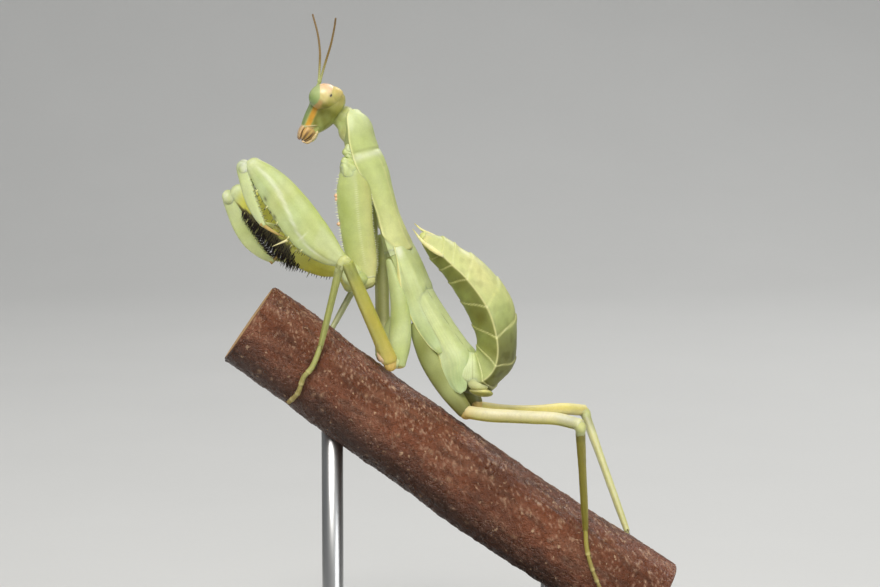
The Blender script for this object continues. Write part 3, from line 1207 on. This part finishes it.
def pad_rings(table, sign, along, across, sunk, free):
    """A pad joined to its twin along the back as far as `free`; beyond that its inner edge
    thins and sinks by `sunk` into what lies under it, so that no step shows."""
    rings = []
    for k, (share, inner, outer, lift) in enumerate(spline(table, along)):
        centre, axis, sizes = thorax_station(share)
        side, up = side_and_up(axis, BACK)
        curve = pad_curve(*sizes)
        ends = math.sqrt(max(1.0 - abs(2.0 * k / (along - 1) - 1.0) ** 14, 0.0))
        loose = float(ease(share, free, free + 0.14))
        low, high = [], []
        for m in range(across):
            u = 0.5 - 0.5 * math.cos(math.pi * m / (across - 1))
            step = max(lerp(inner, outer, u), -2.0) + 2.0
            rise = lerp(1.0, float(ease(u, 0.0, 0.92)), loose)
            edge = max(1.0 - abs(2.0 * u - 1.0) ** 5, 0.0) ** 0.5
            if u < 0.5:
                edge = lerp(1.0, edge, loose)
            half = (0.5 * PAD_THICK * edge * ends + 0.015) * (0.4 + 0.6 * rise)
            middle = lift - sunk * (1.0 - rise)
            low.append(curve_point(curve, step, middle - half))
            high.append(curve_point(curve, step, middle + half))
        rings.append(ring(centre, side * sign, up, low + high[::-1]))
    return rings


def pad_places(b):
    """Share across a pad, from its inner to its outer edge, for its under and upper face."""
    return 0.5 - 0.5 * np.cos(math.pi * (1.0 - np.abs(2.0 * b - 1.0)))


def veins(a, u, width):
    """Four lines that run down a pad and spread a little toward its tip."""
    return sum(bell(u, vein + (0.08 - 0.12 * vein) * a, width)
               for vein in (0.45, 0.58, 0.70, 0.80)) * ease(a, 0.1, 0.2)


def pad_tint(hind):
    edge = 0.945 if hind else 0.925

    def tint(a, b, p):
        u = pad_places(b)
        colour = coats(
            blend(MILK_GREEN, PALE_GREEN, 0.50 + 0.35 * ripple(p, 1.2, 61)),
            (BLUE_GREEN, (0.45 if hind else 0.30) * ease(a, 0.35, 0.9)),
            (RIM_YELLOW, 0.14 * veins(a, u, 0.012)),
            (rgb(232, 226, 152), 0.95 * ease(u, edge, edge + 0.02)))
        if hind:
            return colour
        return coats(colour, (GREEN, 0.65 * ease(a, 0.90, 0.98)),
                     (WHITE, 0.7 * bell(a, 0.07, 0.05) * bell(u, 0.74, 0.14)))
    return tint


def pad_swell(a, b, p):
    u = pad_places(b)
    out = (0.015 * ripple(p, 4.0, 63) + 0.016 * veins(a, u, 0.016)
           + 0.060 * bell(u, 0.95, 0.020) - 0.02 * bell(u, 0.90, 0.03))
    return out * (b > 0.5)


# ---------------------------------------------------------------- small separate pieces
PINK, STRAW, UMBER = rgb(200, 166, 124), rgb(172, 138, 88), rgb(84, 50, 28)
MOUTH_ARMS = (      # stops (down, face, left, half), mesh size, colours, seed, joints, grooves
    # the jaw and its outer blade
    (((3.55, 0.42, 0.92, 0.46), (4.20, 0.48, 0.98, 0.44), (4.75, 0.50, 0.80, 0.32),
      (5.08, 0.52, 0.52, 0.16)), (36, 40), (rgb(198, 160, 96), STRAW, UMBER), 71, (), 0.75),
    (((3.50, -0.20, 1.12, 0.40), (4.10, -0.12, 1.10, 0.38), (4.62, 0.02, 0.95, 0.27),
      (4.98, 0.20, 0.74, 0.15)), (36, 40), (rgb(176, 146, 78), STRAW, UMBER), 72, (), 0.85),
    # the long and the short mouth feelers
    (((3.20, -0.55, 1.15, 0.17), (3.62, -0.66, 1.30, 0.17), (4.15, -0.62, 1.28, 0.17),
      (4.75, -0.46, 1.15, 0.16), (5.18, -0.14, 1.00, 0.14), (5.26, 0.34, 0.86, 0.10)),
     (16, 60), (rgb(198, 186, 124), PINK, rgb(216, 180, 140)), 73, (0.3, 0.55, 0.8), 0.0),
    (((4.00, -0.52, 0.55, 0.20), (4.62, -0.34, 0.66, 0.19), (5.02, 0.02, 0.60, 0.14)),
     (14, 30), (STRAW, PINK, UMBER), 76, (0.5,), 0.0),
)
MOUTH_PLATES = (    # stops (down, face, half, thickness), tint, seed
    (((3.55, 1.12, 1.12, 0.32), (4.15, 1.16, 1.12, 0.33), (4.75, 1.08, 0.92, 0.30),
      (5.30, 0.90, 0.46, 0.22)),
     plain_tint(rgb(212, 180, 128), PINK, 0.5, 74, tip=rgb(150, 96, 66), reach=0.22), 75),
    (((3.60, -0.62, 0.95, 0.30), (4.35, -0.62, 0.92, 0.30), (4.95, -0.36, 0.62, 0.26)),
     plain_tint(rgb(190, 184, 118), GREEN, 0.3, 77, tip=PINK, reach=0.25), 78),
)


def add_mouth_arm(form, sign, stops, mesh, colours, seed, joints, grooved):
    rows = [(*head_point(down, face, left * sign), half, half * 0.9)
            for down, face, left, half in stops]
    plain = plain_tint(*colours[:2], 0.35, seed, tip=colours[2], reach=0.18)

    def tint(a, b, p):
        dark = ease(np.cos(2.0 * math.pi * (3.0 * b + 0.3 * a)), 0.25, 0.8) * ease(a, 0.1, 0.4)
        return blend(plain(a, b, p), rgb(58, 32, 16), grooved * dark)

    def swell(a, b, p):
        return 0.012 * ripple(p, 5.0, seed) - 0.05 * sum(bell(a, place, 0.03) for place in joints)
    tube(form, rows, HEAD_LEFT, *mesh, (0.1, 0.16), tint, swell)


def add_mouthparts(form):
    knob(form, head_point(4.15, 0.22, 0.0), HEAD_DOWN, (0.92, 0.92, 0.66), rgb(62, 36, 20), 24, 30)
    for sign in (1.0, -1.0):
        for arm in MOUTH_ARMS:
            add_mouth_arm(form, sign, *arm)
    for stops, tint, seed in MOUTH_PLATES:
        rings = []
        for k, (down, face, half, thick) in enumerate(spline(stops, 30)):
            end = math.sqrt(1.0 - max(2.0 * k / 29.0 - 1.0, 0.0) ** 6) * 0.98 + 0.02
            rings.append([head_point(down, face + t * end, s * end)
                          for s, t in oval(half, thick, 32)])
        form.add(rings, tint, lambda a, b, p: 0.012 * ripple(p, 5.0, seed))


FEELERS = {
    1.0: ((-14.38, 3.75, 76.90), (-13.75, 3.35, 79.00), (-13.05, 2.60, 81.25),
          (-12.62, 1.95, 83.20), (-12.45, 1.50, 84.30)),
    -1.0: ((-14.62, 5.45, 76.75), (-14.52, 5.75, 78.75), (-14.52, 6.20, 80.35),
           (-14.80, 6.85, 82.35), (-15.40, 7.50, 84.55)),
}
FEELER_HALVES = (0.17, 0.15, 0.14, 0.125, 0.115, 0.105)
FEELER_JOINTS = 44.0


def feeler_tint(a, b, p):
    return coats(blend(PALE_GREEN, FEELER_BROWN, ease(a, 0.14, 0.50)),
                 (BROWN, 0.45 * ease(a, 0.5, 1.0) + 0.10 + 0.10 * wave(a, FEELER_JOINTS)))


def add_feelers(form):
    for sign, stops in FEELERS.items():
        root = head_point(-1.45, 1.72, 0.62 * sign)
        rows = [(*stop, half, half) for stop, half in zip((root,) + stops, FEELER_HALVES)]
        tube(form, rows, TOWARD, 16, 240, (0.1, 0.15), feeler_tint,
             lambda a, b, p: 0.018 * wave(a, FEELER_JOINTS) * ease(a, 0.16, 0.22))
        way = unit(root, stops[0])
        for far, half, long in ((0.15, 0.26, 0.36), (0.75, 0.19, 0.26)):
            knob(form, root + way * far, way, (half, long, half), blend(GREEN, PALE_GREEN, 0.6))


def share_of(k, step):
    """Even-looking but irregular share for item k of a row."""
    return (k * step) % 1.0


def thorn_ends(rows, along, facing, thick, place, spread, lean):
    """Root and tip of a thorn at (side, share, length) on a limb, `spread` degrees off its edge."""
    side, share, length = place
    row, turn = row_at(rows, share), math.radians(spread)
    root = (Vector(row[:3]) + facing * row[3] * math.cos(turn)
            + thick * side * row[4] * math.sin(turn))
    way = (facing + thick * side * lean[0] - along * lean[1]).normalized()
    return root - way * 0.28, root + way * length


def add_thorns(form, limb, places, spread, lean, radius, base, tip, **look):
    for place in places:
        spike(form, *thorn_ends(*limb, place, spread, lean), radius, base, tip, **look)


def add_coxa_teeth(form, side):
    """Small blunt teeth down the front edge, a few of them swollen, and fine ones behind."""
    rows = fore_coxa_rows(side)
    way = unit(rows[0], rows[-1])
    facing = facing_left(way.cross(TOWARD).normalized())
    front, rear = (rows, way, facing, TOWARD), (rows, way, -facing, TOWARD)
    for k in range(34):
        uneven, size = share_of(k, 0.618), share_of(k, 0.755)
        place = (0.0, lerp(0.14, 0.90, (k + 0.4 * uneven) / 34), 0.30 + 0.16 * size)
        if k in (7, 8, 17):
            root, end = thorn_ends(*front, place, 0.0, (0.0, 0.15))
            knob(form, root.lerp(end, 0.62), facing, (0.24, 0.27, 0.24), rgb(228, 184, 142), 12,
                 16, 0.04)
        else:
            add_thorns(form, front, [place], 0.0, (0.0, 0.15), 0.17,
                       blend(PALE_GREEN, WHITE, 0.6), WHITE, dark_from=0.5)
        place = (0.0, lerp(0.25, 0.92, (k + 0.5 * uneven) / 33), 0.10 + 0.09 * size)
        add_thorns(form, rear, [place], 0.0, (0.0, 0.1), 0.12, blend(PALE_GREEN, WHITE, 0.5),
                   WHITE)


def add_femur_spines(form, side):
    """An inner comb of long and short spines, and an outer row of few. On the far leg, a crowd
    of fine black spines fills the face between blade and thigh."""
    along, belly, thick = fore_plane(side)
    limb = (fore_femur_rows(side), along, belly, thick)
    comb = 1.0 if side == "right" else -1.0
    places = [(comb, lerp(0.28, 0.88, k / 13), 0.60 if k % 2 else 0.98) for k in range(14)]
    places += [(-comb, lerp(0.36, 0.86, k / 4), 0.72) for k in range(5)]
    places += [(0.15 * comb, lerp(0.34, 0.48, k / 3), length)
               for k, length in enumerate((0.7, 1.15, 1.25, 0.9))]
    add_thorns(form, limb, places, 28.0, (0.30, 0.10), 0.14, blend(PALE_GREEN, CREAM, 0.5), DARK,
               bend=along * 0.05, dark_from=0.42)
    if side == "left":
        return
    for spread, count, low, high, fit in ((16.0, 80, 0.40, 0.92, 1.0), (40.0, 84, 0.36, 0.90, 1.0),
                                          (62.0, 48, 0.42, 0.80, 1.0), (22.0, 12, 0.12, 0.36, 0.5)):
        places = [(lerp(0.55, 1.0, share_of(k, 0.618)),
                   lerp(low, high, (k + 0.6 * share_of(k, 0.755)) / count),
                   (0.70 + 0.6 * share_of(k, 0.382)) * fit) for k in range(count)]
        add_thorns(form, limb, places, spread, (0.30, 0.30), 0.10, rgb(58, 40, 20),
                   rgb(30, 20, 10), dark_from=0.2, sides=5)


def add_tibia_spines(form, side):
    """Two close combs and the end claw, with a crowd of dark spines on the far leg and a
    second long spine on the near one."""
    belly, thick = fore_plane(side)[1:]
    rows = fore_tibia_rows(side)
    way = unit(rows[0], rows[-1])
    limb = (rows, way, away_from(thick.cross(way).normalized(), belly), thick)
    places = [(row_side, lerp(0.20, 0.93, k / (count - 1)), lerp(0.36, 0.62, k / (count - 1)))
              for row_side, count in ((1.0, 9), (-1.0, 11)) for k in range(count)]
    add_thorns(form, limb, places, 48.0, (0.85, -0.15), 0.11, blend(GREEN, CREAM, 0.5), DARK)
    if side == "right":
        places = [(lerp(-0.9, 0.9, share_of(k, 0.618)), lerp(0.16, 0.95, k / 47),
                   0.55 + 0.4 * share_of(k, 0.382)) for k in range(48)]
        add_thorns(form, limb, places, 40.0, (0.4, -0.15), 0.12, rgb(70, 46, 22), DARK,
                   dark_from=0.2)
    end, claw = Vector(FORE[side]["tibia_end"]), Vector(FORE[side]["claw"])
    spike(form, end.lerp(claw, -0.12), claw, 0.27, rgb(186, 158, 88), DARK, bend=belly * 0.16,
          dark_from=0.84, sides=14)
    if side == "left":
        spike(form, Vector((-18.21, -1.60, 58.10)), Vector((-20.09, -1.90, 57.34)), 0.17,
              rgb(206, 198, 142), DARK, dark_from=0.88, sides=10)


def add_fore_claws(form, side):
    rows = fore_tarsus_rows(side)
    last, run = Vector(rows[-1][:3]), unit(rows[-2], rows[-1])
    for flank in (TOWARD, -TOWARD):
        spike(form, last + flank * 0.10, last + run * 0.55 + flank * 0.3, 0.11, BROWN, DARK,
              bend=Vector((0.0, 0.0, 0.12)), dark_from=0.3, sides=9)


def add_foot_claws(form, leg):
    """Spurs round an ankle, and two hooked claws with a pad between them at the foot's end."""
    knee, ankle = Vector(WALK[leg]["knee"]), Vector(WALK[leg]["ankle"])
    way = unit(knee, ankle)
    sideways, up = side_and_up(way, walk_up(knee, ankle))
    for turn in (0.4, 2.0, 4.3):
        out = sideways * math.cos(turn) + up * math.sin(turn)
        root = ankle + out * 0.28 - way * 0.1
        spike(form, root, root + (way + out * 0.45).normalized() * 0.6, 0.09,
              blend(OLIVE, BROWN, 0.5), DARK)
    rows, out = walk_tarsus(leg)
    last, run = Vector(rows[-1][:3]), unit(rows[-2], rows[-1])
    across = run.cross(out).normalized()
    for flank in (across, -across):
        root = last + flank * 0.12 + out * 0.02
        spike(form, root, root + run * 0.62 + flank * 0.34 - out * 0.34, 0.13, BROWN, DARK,
              bend=out * 0.18, dark_from=0.3, sides=10)
    knob(form, last + run * 0.25 - out * 0.08, run, (0.15, 0.22, 0.10), blend(CREAM, OLIVE, 0.4),
         10, 14)


# ---------------------------------------------------------------- perch and stand
def perch_section(around, trim=0.0):
    return lambda row: oval(row[3] - trim, row[3] - trim, around)


LENTICELS = np.random.default_rng(17).uniform(size=(70, 4))


def lenticels(a, b):
    """Small corky flecks, longer across the branch than along it."""
    total = np.zeros(a.shape)
    for place, turn, size, tall in LENTICELS:
        fleck = bell(a, place, 0.0026 + 0.002 * size) * wrap_bell(b, turn, 0.005 + 0.006 * tall)
        total = np.maximum(total, fleck)
    return total


BARK_WAY = np.array((0.822, 0.0, -0.569))        # down the slope of the branch
# turns points into a space that is squeezed along the branch, so that fields stretch that way
BARK_GRAIN = np.eye(3) - 0.72 * np.outer(BARK_WAY, BARK_WAY)


def grit(shape):
    """Fine random grains, the same each time it is called for one mesh."""
    grains = np.random.default_rng(23).normal(size=shape)
    soft = grains + 0.7 * (np.roll(grains, 1, 0) + np.roll(grains, 1, 1))
    coarse = np.random.default_rng(24).normal(size=shape)
    for _ in range(2):
        coarse = (coarse + np.roll(coarse, 1, 0) + np.roll(coarse, -1, 0)
                  + np.roll(coarse, 1, 1) + np.roll(coarse, -1, 1)) * 0.36
    return np.clip(0.50 * soft + 0.30 * coarse, -1.6, 1.6)


def bark_swell(a, b, p):
    out = -0.08 + 0.07 * ripple(p, 0.8, 81) + 0.040 * ripple(p, 3.4, 82)
    out += 0.035 * ripple(p @ BARK_GRAIN, 5.0, 83)
    out += 0.05 * lenticels(a, b) + 0.045 * grit(a.shape)
    out = np.where((a < 0.004) | (a > 0.996), -0.14, out)      # below the sawn ends
    return np.clip(out, -0.30, 0.09)


def bark_tint(a, b, p):
    grain, grains = p @ BARK_GRAIN, grit(a.shape)
    height = p[..., 2] + 0.74 * p[..., 0]                      # square to the slope
    return coats(
        blend(rgb(130, 74, 46), rgb(92, 50, 28), 0.36 + 0.34 * ripple(p, 0.7, 84)),
        (rgb(158, 112, 86), 0.26 * ease(ripple(grain, 2.6, 85), 0.1, 0.9)),
        (rgb(206, 168, 138), (0.24 + 0.42 * ease(height, 30.0, 37.0)) * ease(grains, 0.6, 1.4)),
        (rgb(78, 44, 28), 0.30 * ease(-grains, 0.5, 1.4)),
        (rgb(66, 38, 22), 0.40 * ease(ripple(grain, 5.5, 86), 0.25, 0.9)),
        (rgb(52, 32, 18), 0.72 * fade(height, 26.5, 31.3)),
        (rgb(190, 152, 118), 0.55 * lenticels(a, b)))


def cut_rings(end, around, rows):
    """Sawn face of the branch, as a shallow closed disc just proud of the bark's cap."""
    rings, points, ways = rings_along(spline(PERCH_LINE, 60), TOWARD, perch_section(around, 0.28))
    edge, centre = rings[end], points[end]
    way = ways[end] if end else -ways[end]
    disc = [[p - way * 0.35 for p in edge]]
    for k in range(rows):
        share = 1.0 - 0.995 * k / (rows - 1)
        disc.append([centre + (p - centre) * share + way * 0.08 for p in edge])
    return disc


def cut_tint(a, b, p):
    share = 1.0 - a
    return coats(
        blend(rgb(206, 170, 118), rgb(176, 134, 84), 0.5 + 0.5 * np.sin(share * 60.0)),
        (rgb(120, 84, 50), 0.6 * fade(share, 0.03, 0.10)),
        (rgb(150, 108, 66), 0.35 * ease(ripple(p, 2.0, 88), 0.2, 0.8)),
        (rgb(92, 58, 36), 0.8 * ease(share, 0.93, 0.99)))


def slab_rings(length, depth, thick, corner):
    """Base with round corners: a small round under its rim and a larger one on top."""
    corners = [(cx * (length / 2 - corner), cy * (depth / 2 - corner),
                math.radians(begin + 90.0 * step / 16))
               for cx, cy, begin in ((1, 1, 0), (-1, 1, 90), (-1, -1, 180), (1, -1, 270))
               for step in range(17)]
    levels = [(0.0, 0.9), (0.0, 0.35)]
    for k in range(7):
        low = 0.35 * (1.0 - math.sin(0.5 * math.pi * k / 6))
        levels.append((low, low * 0.6))
    levels.append((thick - 0.8, 0.0))
    for k in range(9):
        turn = 0.5 * math.pi * k / 8
        levels.append((thick - 0.8 + 0.8 * math.sin(turn), 0.8 * (1.0 - math.cos(turn))))
    levels += [(thick, inset) for inset in (1.6, 3.2, 4.9)]
    return [[Vector((x + (corner - inset) * math.cos(turn), y + (corner - inset) * math.sin(turn),
                     z)) for x, y, turn in corners] for z, inset in levels]


def rod_rings(x, around=48):
    """A rod with a collar at the base, and its top inside the branch."""
    top = perch_point(x, 180.0, 0.0)[0].z + 1.2
    stops = ((3.9, 0.6), (3.9, 2.1), (4.05, 2.3), (4.55, 2.3), (4.75, 2.15), (4.8, 1.5),
             (5.0, ROD_RADIUS), (6.0, ROD_RADIUS), (top - 0.1, ROD_RADIUS), (top, 0.9), (top, 0.2))
    return [[Vector((x + s, t, z)) for s, t in oval(half, half, around)] for z, half in stops]


# ---------------------------------------------------------------- materials
def surface(name, spread, scales, rough, bump, bump_size, colour=None, flesh=0.0, coat=0.0,
            coat_rough=0.12, metal=0.0, stretch=(1.0, 1.0, 1.0), flecks=None):
    """A procedural surface: mottled tint, uneven gloss and two sizes of fine relief. Each
    point's own tint is used unless a colour is given."""
    material = bpy.data.materials.new(name)
    material.use_nodes = True
    nodes, links = material.node_tree.nodes, material.node_tree.links
    shader = nodes["Principled BSDF"]

    def wire(socket, value):
        """Set a socket to a number, or join it to another node's output."""
        if isinstance(value, bpy.types.NodeSocket):
            links.new(value, socket)
        else:
            socket.default_value = value

    def node(kind, inputs, output=0, **settings):
        made = nodes.new("ShaderNode" + kind)
        for key, value in settings.items():
            setattr(made, key, value)
        for key, value in inputs.items():
            wire(made.inputs[key], value)
        return made.outputs[output]

    def noise(scale, detail, roughness=0.55):
        return node("TexNoise", {"Vector": place, "Scale": scale, "Detail": detail,
                                 "Roughness": roughness}, "Fac")

    def spread_over(source, low, high, first, last):
        return node("MapRange", {"Value": source, "From Min": first, "From Max": last,
                                 "To Min": low, "To Max": high}, "Result")

    place = node("Mapping", {"Vector": node("TexCoord", {}, "Object"), "Scale": stretch},
                 "Vector")
    broad, fine = noise(scales[0], 5.0), noise(scales[1], 3.0, 0.6)
    mottle = node("Math", {0: spread_over(broad, 1.0 - spread, 1.0 + spread, 0.25, 0.75),
                           1: spread_over(fine, 1.0 - 0.5 * spread, 1.0 + 0.5 * spread, 0.3, 0.7)},
                  operation="MULTIPLY")
    plain = colour or node("Attribute", {}, "Color", attribute_name="tint")
    shade = node("VectorMath", {0: plain, "Scale": mottle}, operation="SCALE")
    if flecks:
        fleck_colour, fleck_scale, low, high = flecks
        share = spread_over(noise(fleck_scale, 2.0), 0.0, 0.8, low, high)
        shade = node("Mix", {"Factor": share, 6: shade, 7: (*fleck_colour, 1.0)}, 2,
                     data_type="RGBA")
    relief = node("Math", {0: broad, 1: 1.5, 2: fine}, operation="MULTIPLY_ADD")
    looks = {
        "Base Color": shade, "Roughness": spread_over(broad, *rough, 0.3, 0.7),
        "Normal": node("Bump", {"Strength": bump, "Distance": bump_size, "Height": relief},
                       "Normal"),
        "Metallic": metal, "Coat Weight": coat, "Coat Roughness": coat_rough,
        "Subsurface Weight": flesh, "Subsurface Radius": (1.0, 0.85, 0.35),
        "Subsurface Scale": 0.0006,
    }
    for key, value in looks.items():
        wire(shader.inputs[key], value)
    return material


def cuticle():
    return surface("cuticle", 0.09, (800.0, 6000.0), (0.42, 0.56), 0.40, 0.000030, flesh=0.30)


def compound_eye():
    return surface("compound_eye", 0.04, (2500.0, 26000.0), (0.34, 0.42), 0.10, 0.000006,
                   flesh=0.25, coat=0.15, coat_rough=0.25)


def feeler_cuticle():
    return surface("feeler_cuticle", 0.12, (1500.0, 9000.0), (0.42, 0.6), 0.3, 0.00001)


def mouth_cuticle():
    return surface("mouth_cuticle", 0.14, (1400.0, 9000.0), (0.30, 0.46), 0.3, 0.000015,
                   flesh=0.1)


def pad_cuticle():
    return surface("pad_cuticle", 0.09, (900.0, 8000.0), (0.36, 0.50), 0.3, 0.00002, flesh=0.25)


def horn():
    return surface("horn", 0.10, (1500.0, 9000.0), (0.44, 0.60), 0.2, 0.00001)


def bark():
    return surface("bark", 0.16, (1400.0, 5200.0), (0.20, 0.44), 1.0, 0.00038,
                   flecks=(rgb(200, 166, 132), 1500.0, 0.66, 0.74))


def sawn_wood():
    return surface("sawn_wood", 0.14, (700.0, 5000.0), (0.6, 0.8), 0.5, 0.00006)


def painted_metal():
    return surface("painted_metal", 0.06, (300.0, 2600.0), (0.42, 0.55), 0.35, 0.00005)


def brushed_steel():
    return surface("brushed_steel", 0.05, (900.0, 5000.0), (0.24, 0.38), 0.25, 0.00001,
                   metal=1.0, stretch=(1.0, 1.0, 0.03))


def studio_paper():
    return surface("studio_paper", 0.012, (30.0, 900.0), (0.85, 0.95), 0.05, 0.00002,
                   colour=(0.66, 0.66, 0.645))


# ---------------------------------------------------------------- pieces
SIDES = ("left", "right")
LIMB_NODES = [part + "_" + pair + "_" + side for part in ("coxa", "femur", "tibia", "tarsus")
              for pair in ("fore", "mid", "hind") for side in SIDES]
BODY_NODES = ["head", "neck", "prothorax", "mesothorax", "metathorax", "cercus_left",
              "cercus_right"] + ["abdomen_" + str(k) for k in range(1, 9)]


def add_head(form):
    """Skull with the temples, which carry the curve of each eye on to it, and the jowls."""
    form.add(skull_rings(80, 90), skull_tint, skull_swell)
    for sign in (1.0, -1.0):
        form.add(ellipsoid_rings(on_side(TEMPLE_PLACE, sign), TEMPLE_AXES, TEMPLE_SIZE, 34, 46),
                 temple_tint,
                 lambda a, b, p: joined(lump_gap(p, EYE_PLACE, EYE_SIZE, 1.6, sign), 0.45))
        knob(form, head_point(3.30, -0.38, 0.98 * sign), HEAD_DOWN, (0.46, 0.78, 0.42),
             skull_tint, 22, 30, 0.04)


def add_limbs(form):
    """Six legs, the folds of skin at the tops of the front ones, soft lumps and tail feelers."""
    for side in SIDES:
        add_fore_leg(form, side)
    tube(form, FOLDS, TOWARD, 40, 80, (0.2, 0.5), fold_tint, fold_swell)
    for lump in BELLY_LUMPS:
        knob(form, *lump)
    for leg in WALK:
        add_walking_leg(form, leg)
    for lump in NEAR_LEG_LUMPS:
        knob(form, *lump)
    for rows in CERCI:
        tube(form, rows, TOWARD, 14, 50, (0.2, 0.05),
             plain_tint(RIM_YELLOW, CREAM, 0.40, 58, tip=GOLD, reach=0.3),
             lambda a, b, p: 0.012 * wave(a, 9.0) * ease(a, 0.2, 0.5))


def make_skin():
    skin = Form("mantis_skin")
    skin.add(thorax_rings(PROTHORAX, 80, 170, (0.45, 0.12)), shield_tint, shield_swell)
    skin.add(thorax_rings(PTEROTHORAX, 60, 100, (0.1, 0.1)), hind_trunk_tint, hind_trunk_swell)
    skin.add(tube_rings(NECK, BACK, 40, 50), neck_tint, neck_swell)
    skin.add(abdomen_rings(64), abdomen_tint, abdomen_swell)
    add_head(skin)
    add_limbs(skin)
    skin.build(cuticle(), "body_green", BODY_NODES + LIMB_NODES)


def make_eyes():
    eyes, lenses, glassy = Form("eyes"), Form("ocelli"), compound_eye()
    for sign in (1.0, -1.0):
        eyes.add(eye_rings(sign, 70, 96), eye_tint(sign))
    eyes.build(glassy, "eye", ["eye_left", "eye_right"])
    for down, left in ((-1.62, 0.24), (-1.62, -0.24), (-1.28, 0.0)):
        knob(lenses, head_point(down, 1.66, left), HEAD_FACE, (0.13, 0.10, 0.13),
             rgb(206, 190, 120), 12, 18)
    lenses.build(glassy, "eye", ["head"])


def make_feelers():
    feelers = Form("feelers")
    add_feelers(feelers)
    feelers.build(feeler_cuticle(), "feeler", ["antenna_left", "antenna_right"])


def make_mouth():
    mouth = Form("mouthparts")
    add_mouthparts(mouth)
    mouth.build(mouth_cuticle(), "mouth", ["labrum", "labium", "mandible_left", "mandible_right",
                                           "palp_left", "palp_right"])


def make_pads():
    pads = Form("wing_pads")
    for sign in (1.0, -1.0):
        pads.add(pad_rings(FORE_PAD, sign, 100, 44, 0.42, 0.40), pad_tint(False), pad_swell)
        pads.add(pad_rings(HIND_PAD, sign, 90, 40, 0.34, 1.02), pad_tint(True), pad_swell)
    pads.build(pad_cuticle(), "wing_pad",
               ["wing_pad_" + pair + "_" + side for pair in ("fore", "hind") for side in SIDES])


def make_spines():
    spines = Form("spines_and_claws")
    for side in SIDES:
        add_coxa_teeth(spines, side)
        add_femur_spines(spines, side)
        add_tibia_spines(spines, side)
    for leg in WALK:
        add_foot_claws(spines, leg)
    for side in SIDES:
        add_fore_claws(spines, side)
    spines.build(horn(), "body_green", LIMB_NODES)


def make_perch():
    branch, ends = Form("perch_bark"), Form("perch_ends")
    branch.add(rings_along(spline(PERCH_LINE, 330), TOWARD, perch_section(190))[0], bark_tint,
               bark_swell)
    branch.build(bark(), "bark", ["perch"])
    for end in (0, -1):
        ends.add(cut_rings(end, 96, 60), cut_tint, lambda a, b, p: 0.012 * ripple(p, 6.0, 92))
    ends.build(sawn_wood(), "bark", ["perch"])


def make_stand():
    base, rods = Form("display_base"), Form("display_rods")
    base.add(slab_rings(*BASE), np.array([0.045, 0.046, 0.050]))
    base.build(painted_metal(), "stand_base", ["stand_base"])
    for x in RODS_X:
        rods.add(rod_rings(x), np.array([0.60, 0.60, 0.59]))
    rods.build(brushed_steel(), "stand_metal", ["stand_rod_left", "stand_rod_right"])


# ---------------------------------------------------------------- studio, in metres
MIDDLE = (0.0, 0.0, 0.05)


def place_in_scene(name, data, place=(0.0, 0.0, 0.0), target=None):
    """An object for a mesh, lamp or camera, turned to look at the target."""
    thing = bpy.data.objects.new(name, data)
    thing.location = place
    if target:
        aim = Vector(target) - Vector(place)
        thing.rotation_euler = aim.to_track_quat("-Z", "Y").to_euler()
    bpy.context.scene.collection.objects.link(thing)
    return thing


def sweep():
    """Pale floor that curves up behind the object."""
    start, bend, half_width = 0.42, 0.36, 1.6
    profile = [(-1.1, 0.0), (start, 0.0)]
    for k in range(1, 33):
        turn = 0.5 * math.pi * k / 32
        profile.append((start + bend * math.sin(turn), bend * (1.0 - math.cos(turn))))
    profile.append((start + bend, 1.6))
    verts = [(x, y, z) for y, z in profile for x in (-half_width, half_width)]
    faces = [(2 * k, 2 * k + 1, 2 * k + 3, 2 * k + 2) for k in range(len(profile) - 1)]
    mesh = bpy.data.meshes.new("studio_sweep")
    mesh.from_pydata(verts, [], faces)
    mesh.polygons.foreach_set("use_smooth", [True] * len(mesh.polygons))
    mesh.materials.append(studio_paper())
    stage = place_in_scene("studio_sweep", mesh)


def lamp(name, place, size, power, colour=(1.0, 1.0, 1.0)):
    data = bpy.data.lights.new(name, "AREA")
    data.shape = "DISK"
    data.size = size
    data.energy = power
    data.color = colour
    place_in_scene(name, data, place, MIDDLE)


def light_and_camera():
    lamp("key", (-0.09, -0.36, 0.50), 0.26, 3.35, (1.0, 0.98, 0.95))
    lamp("fill", (0.40, -0.38, 0.14), 0.36, 1.0, (0.96, 0.98, 1.0))
    lamp("rim", (0.20, 0.38, 0.42), 0.24, 1.1)
    world = bpy.data.worlds.new("studio")
    world.use_nodes = True
    sky = world.node_tree.nodes["Background"]
    sky.inputs[0].default_value = (0.90, 0.93, 0.97, 1.0)
    sky.inputs[1].default_value = 0.20
    bpy.context.scene.world = world
    bpy.context.scene.view_settings.view_transform = "Standard"
    lens = bpy.data.cameras.new("camera")
    lens.sensor_width = 36.0
    lens.lens = 129.545
    lens.clip_start = 0.01
    bpy.context.scene.camera = place_in_scene("camera", lens, (0.0, -0.37717, 0.09781),
                                              (0.0, 0.0, 0.0515))


make_skin()
make_eyes()
make_feelers()
make_mouth()
make_pads()
make_spines()
make_perch()
make_stand()
sweep()
light_and_camera()
